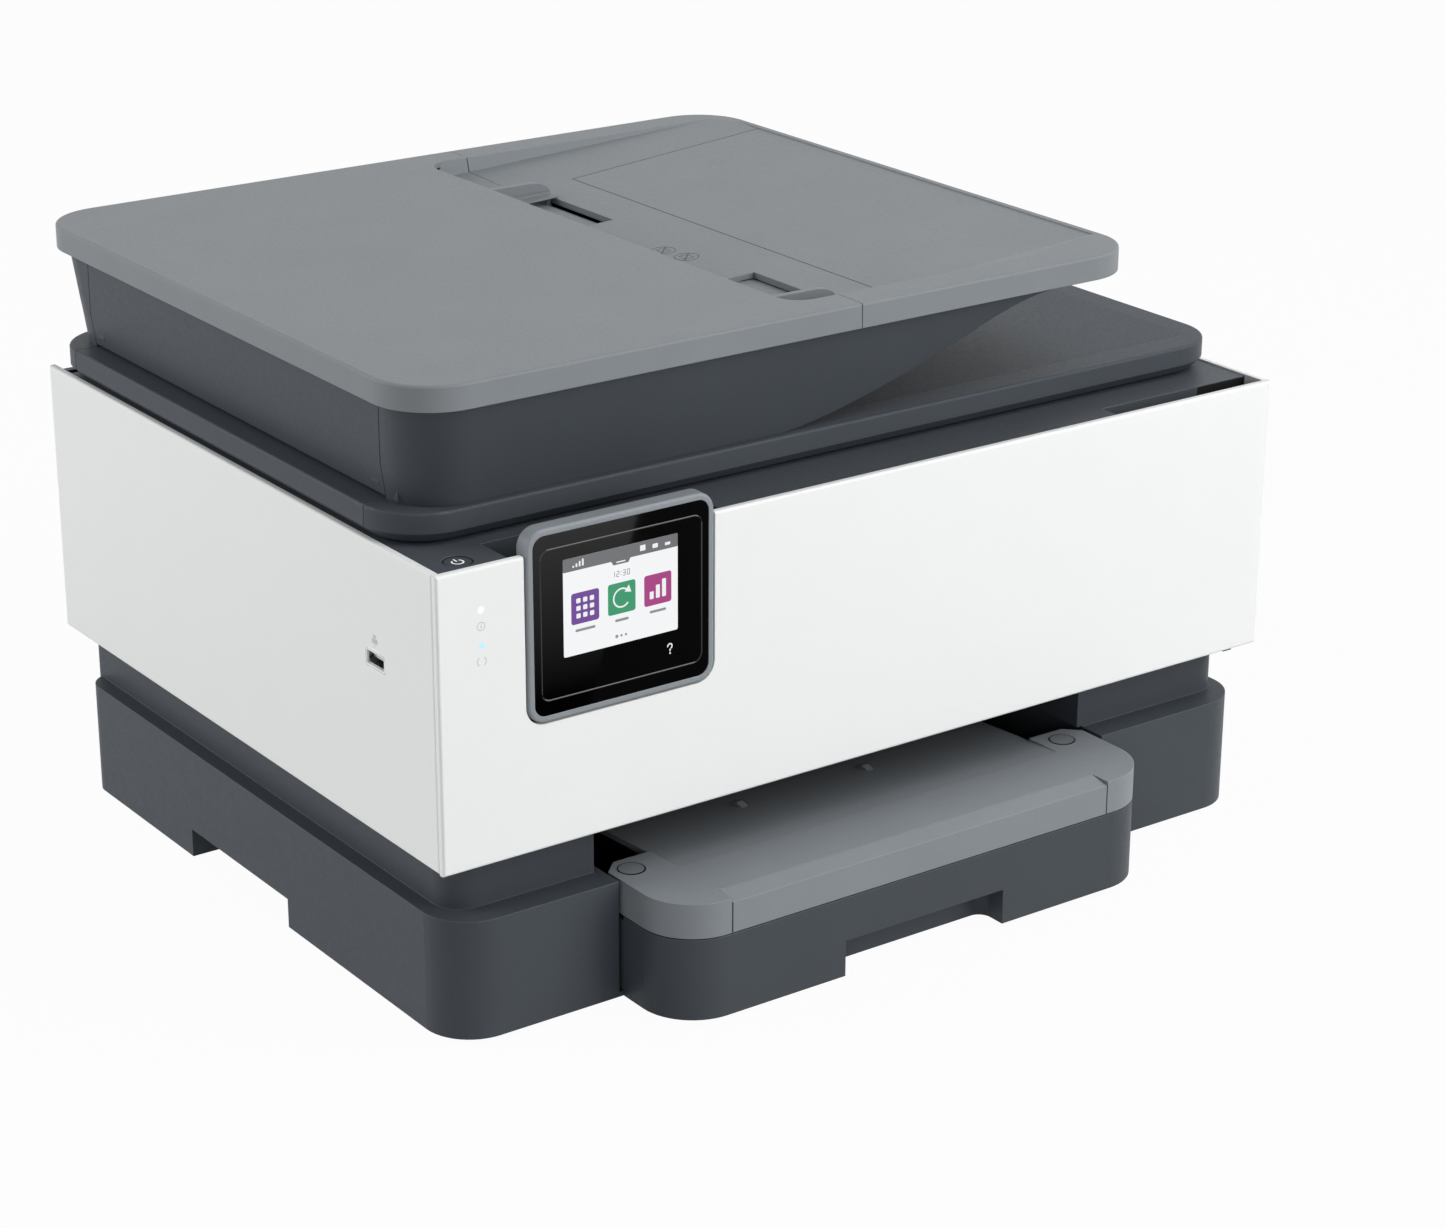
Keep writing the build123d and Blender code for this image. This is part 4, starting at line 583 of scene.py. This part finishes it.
# Bright shell rim of the front data socket and a plain plug sign over it
RIM_PROFILE = ((2.6, -0.05), (2.4, 0.03), (1.4, 0.03), (0.4, -0.5), (0.0, -1.4), (-0.3, -1.4))
port_low, port_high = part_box("usb_socket")
side_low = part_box("side_panel_left")[0]
port_middle = Vector((side_low.x, (port_low.y + port_high.y) / 2, (port_low.z + port_high.z) / 2))
port_grid = axes(port_middle, *LEFT)
port_w = (port_high.y - port_low.y) / MM
port_h = (port_high.z - port_low.z) / MM
port_rings = []
for grow, level in RIM_PROFILE:
    port_rings.append((box_points(0, 0, port_w + grow, port_h + grow, 0.5 + grow / 6, 4), level))
mesh = bmesh.new()
rings(mesh, port_grid, port_rings)
add("port_rim", mesh, brushed("port_steel", (196, 194, 190), 0.35), "chassis")
plug_shapes = [box_points(0, 8.2, 4.4, 2.2, 0.4), box_points(0, 10.2, 2.4, 1.2, 0.2),
               box_points(0, 6.2, 0.4, 1.6, 0.1)]
stamped("port_sign", port_grid, plug_shapes, PRINT_LOW, PRINT_TOP, sign_grey, "chassis")

# Ring lines round the tray bumpers
bump_low, bump_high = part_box("tray_bumpers")
bump_radius = (bump_high.y - bump_low.y) / MM / 2
mesh = bmesh.new()
for bump_x in (bump_low.x + bump_radius * MM, bump_high.x - bump_radius * MM):
    bump_grid = axes(Vector((bump_x, (bump_low.y + bump_high.y) / 2, bump_high.z)), *TOP)
    plate(mesh, bump_grid, arc_points(0, 0, bump_radius - 0.1, 0.45, 0, FULL_TURN, 48), -0.3, 0.015)
add("bumper_rings", mesh, moulded("ring_line", (34, 36, 38), 0.6, edge=0), "paper_tray")

# Dark seams at the two ends of the output flap
SEAM_WIDE = 0.55
SEAM_GAP = 0.03
SEAM_LOW = -1.2
SEAM_TOP = 0.015
FLAP_TOP = 54.2
flap_low, flap_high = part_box("output_flap")
flap_grid = axes(Vector((0, flap_low.y, 0)), *FRONT)
flap_foot = flap_low.z / MM
flap_seams = []
for seam_u in (flap_low.x / MM - SEAM_GAP - SEAM_WIDE / 2, flap_high.x / MM + SEAM_GAP + SEAM_WIDE / 2):
    flap_seams.append(box_points(seam_u, (flap_foot + FLAP_TOP) / 2, SEAM_WIDE, FLAP_TOP - flap_foot))
flap_dark = moulded("flap_seam", (24, 25, 27), 0.7, edge=0)
stamped("flap_seams", flap_grid, flap_seams, SEAM_LOW, SEAM_TOP, flap_dark, "paper_tray")

# Slope of the document tray: its rise per length, and one point on it in the part's millimetres
FEED_SLOPE = 0.0506
FEED_X = -18.0
FEED_Z = 268.9
feed_right = Vector((1, 0, FEED_SLOPE)).normalized()


def feed_axes(x, y):
    """A frame on the sloping document tray at a point of it."""
    return axes(at(x, y, FEED_Z + FEED_SLOPE * (x - FEED_X)), feed_right, Vector((0, 1, 0)))


# Two embossed signs on the document tray: a sheet in a ring with a stroke
EMBOSS_LOW = -0.05
EMBOSS_TOP = 0.06
SHEET_TOP = 0.05
sheet_sides = ((0.0, 2.6, 4.4, 0.35), (0.0, -2.6, 4.4, 0.35), (-2.2, 0.0, 0.35, 5.2), (2.2, 0.0, 0.35, 5.2))
stroke = [(-3.9, -3.4), (-3.4, -3.9), (3.9, 3.4), (3.4, 3.9)]
mesh = bmesh.new()
for sign_x, sign_y in ((-3.9, 157.8), (-1.8, 143.0)):
    feed_grid = feed_axes(sign_x, sign_y)
    plate(mesh, feed_grid, arc_points(0, 0, 5.4, 0.4, 0, FULL_TURN, 40), EMBOSS_LOW, EMBOSS_TOP)
    plate(mesh, feed_grid, stroke, EMBOSS_LOW, EMBOSS_TOP)
    for side in sheet_sides:
        plate(mesh, feed_grid, box_points(*side), EMBOSS_LOW, SHEET_TOP)
add("feed_signs", mesh, moulded("emboss", (80, 84, 88), 0.5, vary=0.02, edge=0), "lid")

# Shallow floors in the two guide slots, each with the gap its stem runs in, and a taller wing on each guide
FLOOR_LOW = 266.4
FLOOR_HIGH = 267.0
SLOT_LEFT = -10.8
SLOT_RIGHT = 6.8
STEM_EDGE = 3.4
SLOT_LONG = 58.0
SLOT_END = 1.0
WING_LEFT = -24.4
WING_RIGHT = 7.6
WING_LOW = 272.2
WING_HIGH = 277.3
WING_BEND = -4.0
WING_THICK = 2.4
WING_PROUD = 0.06
wing_outline = [(WING_LEFT, WING_LOW), (WING_RIGHT, WING_LOW)]
for k in range(1, 10):
    turn = math.radians(10 * k)
    wing_outline.append((WING_BEND + (WING_RIGHT - WING_BEND) * math.cos(turn),
                         WING_LOW + (WING_HIGH - WING_LOW) * math.sin(turn)))
wing_outline.append((WING_LEFT, WING_HIGH))
slot_spans = {"back": (SLOT_LEFT, STEM_EDGE), "front": (SLOT_LEFT + SLOT_RIGHT - STEM_EDGE, SLOT_RIGHT)}
for end, side in (("back", 1), ("front", -1)):
    body = f"guide_{end}"
    guide_low, guide_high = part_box(body)
    outer = Vector((0, guide_high.y if side > 0 else guide_low.y, 0))
    span_left, span_right = slot_spans[end]
    floor_shape = box_points((span_left + span_right) / 2, side * (SLOT_END - SLOT_LONG / 2),
                             span_right - span_left, SLOT_LONG)
    stamped(f"slot_floor_{end}", axes(outer, *TOP), [floor_shape], FLOOR_LOW, FLOOR_HIGH,
            finishes["mid_plastic"], "lid")
    wing_near = min(0.0, side * WING_THICK) - WING_PROUD
    wing_far = max(0.0, side * WING_THICK) + WING_PROUD
    stamped(f"guide_wing_{end}", axes(outer, *FRONT), [wing_outline], wing_near, wing_far,
            finishes["mid_plastic"], body)

# Dark seam round the document pad: a line from front to back, and a slant along the back
PAD_SEAM = 31.0
PAD_FRONT = 46.5
PAD_BACK = 284.0
PAD_LINE = 0.6
PAD_SUNK = -0.5
pad_slant = [(0.3, -0.3), (119.0, 12.6), (119.0, 13.1), (-0.3, 0.2)]
pad_grid = feed_axes(PAD_SEAM, PAD_BACK)
mesh = bmesh.new()
pad_line = box_points(0, (PAD_FRONT - PAD_BACK) / 2, PAD_LINE, PAD_BACK - PAD_FRONT)
plate(mesh, pad_grid, pad_line, PAD_SUNK, 0.02)
plate(mesh, pad_grid, pad_slant, PAD_SUNK, 0.03)
add("pad_seam", mesh, moulded("seam_dark", (52, 54, 57), 0.6, edge=0), "lid")

# Screws near the corners of the rear panel, each in a ring of painted shade and with painted shade in the
# cross of its head
SCREW_SIDE = 0.0105
SCREW_LOW = 0.013
SCREW_HIGH = 0.016
HEAD_PROFILE = ((3.3, -0.2), (3.3, 0.35), (2.9, 0.75), (1.6, 0.95))
RECESS_PROFILE = ((4.6, -0.2), (4.6, 0.02), (4.0, 0.03))
CROSS_LOW = 0.8
CROSS_TOP = 0.99
back_low, back_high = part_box("rear_panel")
screw_steel = brushed("screw_steel", (150, 152, 155), 0.35)
recess_painted_shade = moulded("recess_painted_shade", (16, 16, 17), 0.7, edge=0)
screw_heads = bmesh.new()
screw_painted_shade = bmesh.new()
for screw_x in (back_low.x + SCREW_SIDE, back_high.x - SCREW_SIDE):
    for screw_z in (back_low.z + SCREW_LOW, back_high.z - SCREW_HIGH):
        screw_grid = axes(Vector((screw_x, back_high.y, screw_z)), *BACK)
        turned(screw_heads, screw_grid, HEAD_PROFILE)
        turned(screw_painted_shade, screw_grid, RECESS_PROFILE, 32)
        for long_u, long_v in ((2.9, 0.7), (0.7, 2.9)):
            plate(screw_painted_shade, screw_grid, box_points(0, 0, long_u, long_v, 0.25), CROSS_LOW, CROSS_TOP)
add("screw_heads", screw_heads, screw_steel, "chassis")
add("screw_painted_shade", screw_painted_shade, recess_painted_shade, "chassis")

# Painted shade on the back wall of the deck's finger pocket: a near-black sheet
POCKET_LEFT = 187.4
POCKET_WALL = 14.2
POCKET_FOOT = 189.2
SHADE_SHEET_PROUD = 0.06
pocket_grid = axes(at(POCKET_LEFT, POCKET_WALL - SHADE_SHEET_PROUD, POCKET_FOOT), *FRONT)
pocket_painted_shade = moulded("pocket_painted_shade", (20, 20, 22), 0.6, edge=0)
stamped("pocket_shade_sheet", pocket_grid, [box_points(14.3, 9.7, 28.4, 19.2, 0.6)], -0.04, 0.02,
        pocket_painted_shade, "chassis")


# Stage: floor, light and camera
FLOOR_HALF = 6.0
FLOOR_TONE = 0.56
FLOOR_SHARE = 0.965
AMBIENT = 0.24
PURE_WHITE = (1.0, 1.0, 1.0, 1.0)


def background_rays(tree):
    """A value that is 1 for rays from the camera, and for those seen in gloss or through glass."""
    path = tree.nodes.new("ShaderNodeLightPath")
    value = path.outputs["Is Camera Ray"]
    for kind in ("Is Glossy Ray", "Is Transmission Ray"):
        either = tree.nodes.new("ShaderNodeMath")
        either.operation = "MAXIMUM"
        tree.links.new(value, either.inputs[0])
        tree.links.new(path.outputs[kind], either.inputs[1])
        value = either.outputs[0]
    return value


def mixed(tree, share, first, second):
    """A mix of two shader nodes by a value."""
    mixer = tree.nodes.new("ShaderNodeMixShader")
    tree.links.new(share, mixer.inputs[0])
    tree.links.new(first.outputs[0], mixer.inputs[1])
    tree.links.new(second.outputs[0], mixer.inputs[2])
    return mixer.outputs[0]


def stage_material():
    """Pale floor that reads as white and keeps a soft shadow."""
    material = bpy.data.materials.new("studio_floor")
    material.use_nodes = True
    tree = material.node_tree
    tree.nodes.clear()
    out = tree.nodes.new("ShaderNodeOutputMaterial")
    matt = tree.nodes.new("ShaderNodeBsdfDiffuse")
    matt.inputs["Color"].default_value = (FLOOR_TONE, FLOOR_TONE, FLOOR_TONE, 1.0)
    bright = tree.nodes.new("ShaderNodeEmission")
    bright.inputs["Color"].default_value = PURE_WHITE
    bright.inputs["Strength"].default_value = 1.0
    share = tree.nodes.new("ShaderNodeMath")
    share.operation = "MULTIPLY"
    share.inputs[1].default_value = FLOOR_SHARE
    tree.links.new(background_rays(tree), share.inputs[0])
    tree.links.new(mixed(tree, share.outputs[0], matt, bright), out.inputs["Surface"])
    return material


def stage_sheets(name, sheets, materials):
    """A flat object of the stage, one face and one material for each sheet."""
    mesh = bmesh.new()
    for k, corners in enumerate(sheets):
        face = mesh.faces.new([mesh.verts.new(corner) for corner in corners])
        face.material_index = k
    data = bpy.data.meshes.new(name)
    mesh.to_mesh(data)
    mesh.free()
    for material in materials:
        data.materials.append(material)
    flat = bpy.data.objects.new(name, data)
    bpy.context.scene.collection.objects.link(flat)
    return flat


floor_corners = [(x * FLOOR_HALF, y * FLOOR_HALF, 0) for x, y in ((-1, -1), (1, -1), (1, 1), (-1, 1))]
floor = stage_sheets("floor", [floor_corners], [stage_material()])

world = bpy.data.worlds.new("studio")
bpy.context.scene.world = world
world.use_nodes = True
tree = world.node_tree
tree.nodes.clear()
sky_out = tree.nodes.new("ShaderNodeOutputWorld")
ambient = tree.nodes.new("ShaderNodeBackground")
ambient.inputs["Color"].default_value = PURE_WHITE
ambient.inputs["Strength"].default_value = AMBIENT
backdrop = tree.nodes.new("ShaderNodeBackground")
backdrop.inputs["Color"].default_value = PURE_WHITE
backdrop.inputs["Strength"].default_value = 1.0
tree.links.new(mixed(tree, background_rays(tree), ambient, backdrop), sky_out.inputs["Surface"])


def softbox(name, place, target, size, power):
    """A square area lamp aimed at a point."""
    lamp = bpy.data.lights.new(name, "AREA")
    lamp.shape = "SQUARE"
    lamp.size = size
    lamp.energy = power
    holder = bpy.data.objects.new(name, lamp)
    bpy.context.scene.collection.objects.link(holder)
    holder.location = place
    holder.rotation_mode = "QUATERNION"
    holder.rotation_quaternion = (Vector(target) - Vector(place)).to_track_quat("-Z", "Y")


AIM = (0.05, 0.0, 0.15)
softbox("lamp_top", (0.9, -0.6, 1.9), AIM, 1.4, 6.0)
softbox("lamp_front", (0.7, -1.3, 1.7), AIM, 1.4, 18.0)
softbox("lamp_left", (-1.9, 1.4, 1.0), AIM, 1.5, 30.5)
softbox("lamp_right", (1.5, -2.0, 0.8), AIM, 1.4, 24.0)
softbox("lamp_near", (-1.6, -1.9, 0.6), AIM, 1.0, 6.0)

# Card on the floor in front, seen only in gloss: black at the right, turning white with distance at the left
CARD_HEIGHT = 0.002
CARD_DARK_TO = -0.45
CARD_WHITE_FROM = -0.75


def card_material():
    """Dark near the object and white far from it."""
    material, tree, skin = shader("card_fade")
    place = tree.nodes.new("ShaderNodeTexCoord")
    parts = tree.nodes.new("ShaderNodeSeparateXYZ")
    tree.links.new(place.outputs["Object"], parts.inputs[0])
    fade = tree.nodes.new("ShaderNodeMapRange")
    fade.inputs["From Min"].default_value = CARD_DARK_TO
    fade.inputs["From Max"].default_value = CARD_WHITE_FROM
    tree.links.new(parts.outputs["Y"], fade.inputs["Value"])
    tree.links.new(fade.outputs["Result"], skin.inputs["Emission Strength"])
    skin.inputs["Emission Color"].default_value = PURE_WHITE
    skin.inputs["Base Color"].default_value = (0.0, 0.0, 0.0, 1.0)
    skin.inputs["Specular IOR Level"].default_value = 0.0
    return material


card_outlines = (((-0.05, -0.33), (0.56, -1.08), (1.5, -1.08), (1.5, -0.33)),
                 ((-0.05, -0.33), (-1.0, -0.33), (-1.0, -1.08), (0.56, -1.08)))
card_sheets = [[(x, y, CARD_HEIGHT) for x, y in outline] for outline in card_outlines]
card = stage_sheets("card", card_sheets, [moulded("card_black", (4, 4, 4), 0.9, edge=0), card_material()])
card.visible_camera = False
card.visible_diffuse = False
card.visible_shadow = False
card.visible_transmission = False

# Camera as fitted to the photo's straight edges
lens = bpy.data.cameras.new("camera")
lens.sensor_width = 36.0
lens.lens = 86.33
lens.clip_start = 0.05
lens.clip_end = 50.0
camera = bpy.data.objects.new("camera", lens)
bpy.context.scene.collection.objects.link(camera)
camera_right = Vector((0.812233, -0.583324, 0.003186))
camera_up = Vector((0.207674, 0.294264, 0.932888))
camera_back = Vector((-0.545114, -0.757061, 0.360152))
camera_place = Matrix((camera_right, camera_up, camera_back)).transposed().to_4x4()
camera_place.translation = Vector((-0.85314, -1.221, 0.67246))
camera.matrix_world = camera_place
bpy.context.scene.camera = camera
bpy.context.scene.view_settings.view_transform = "Standard"
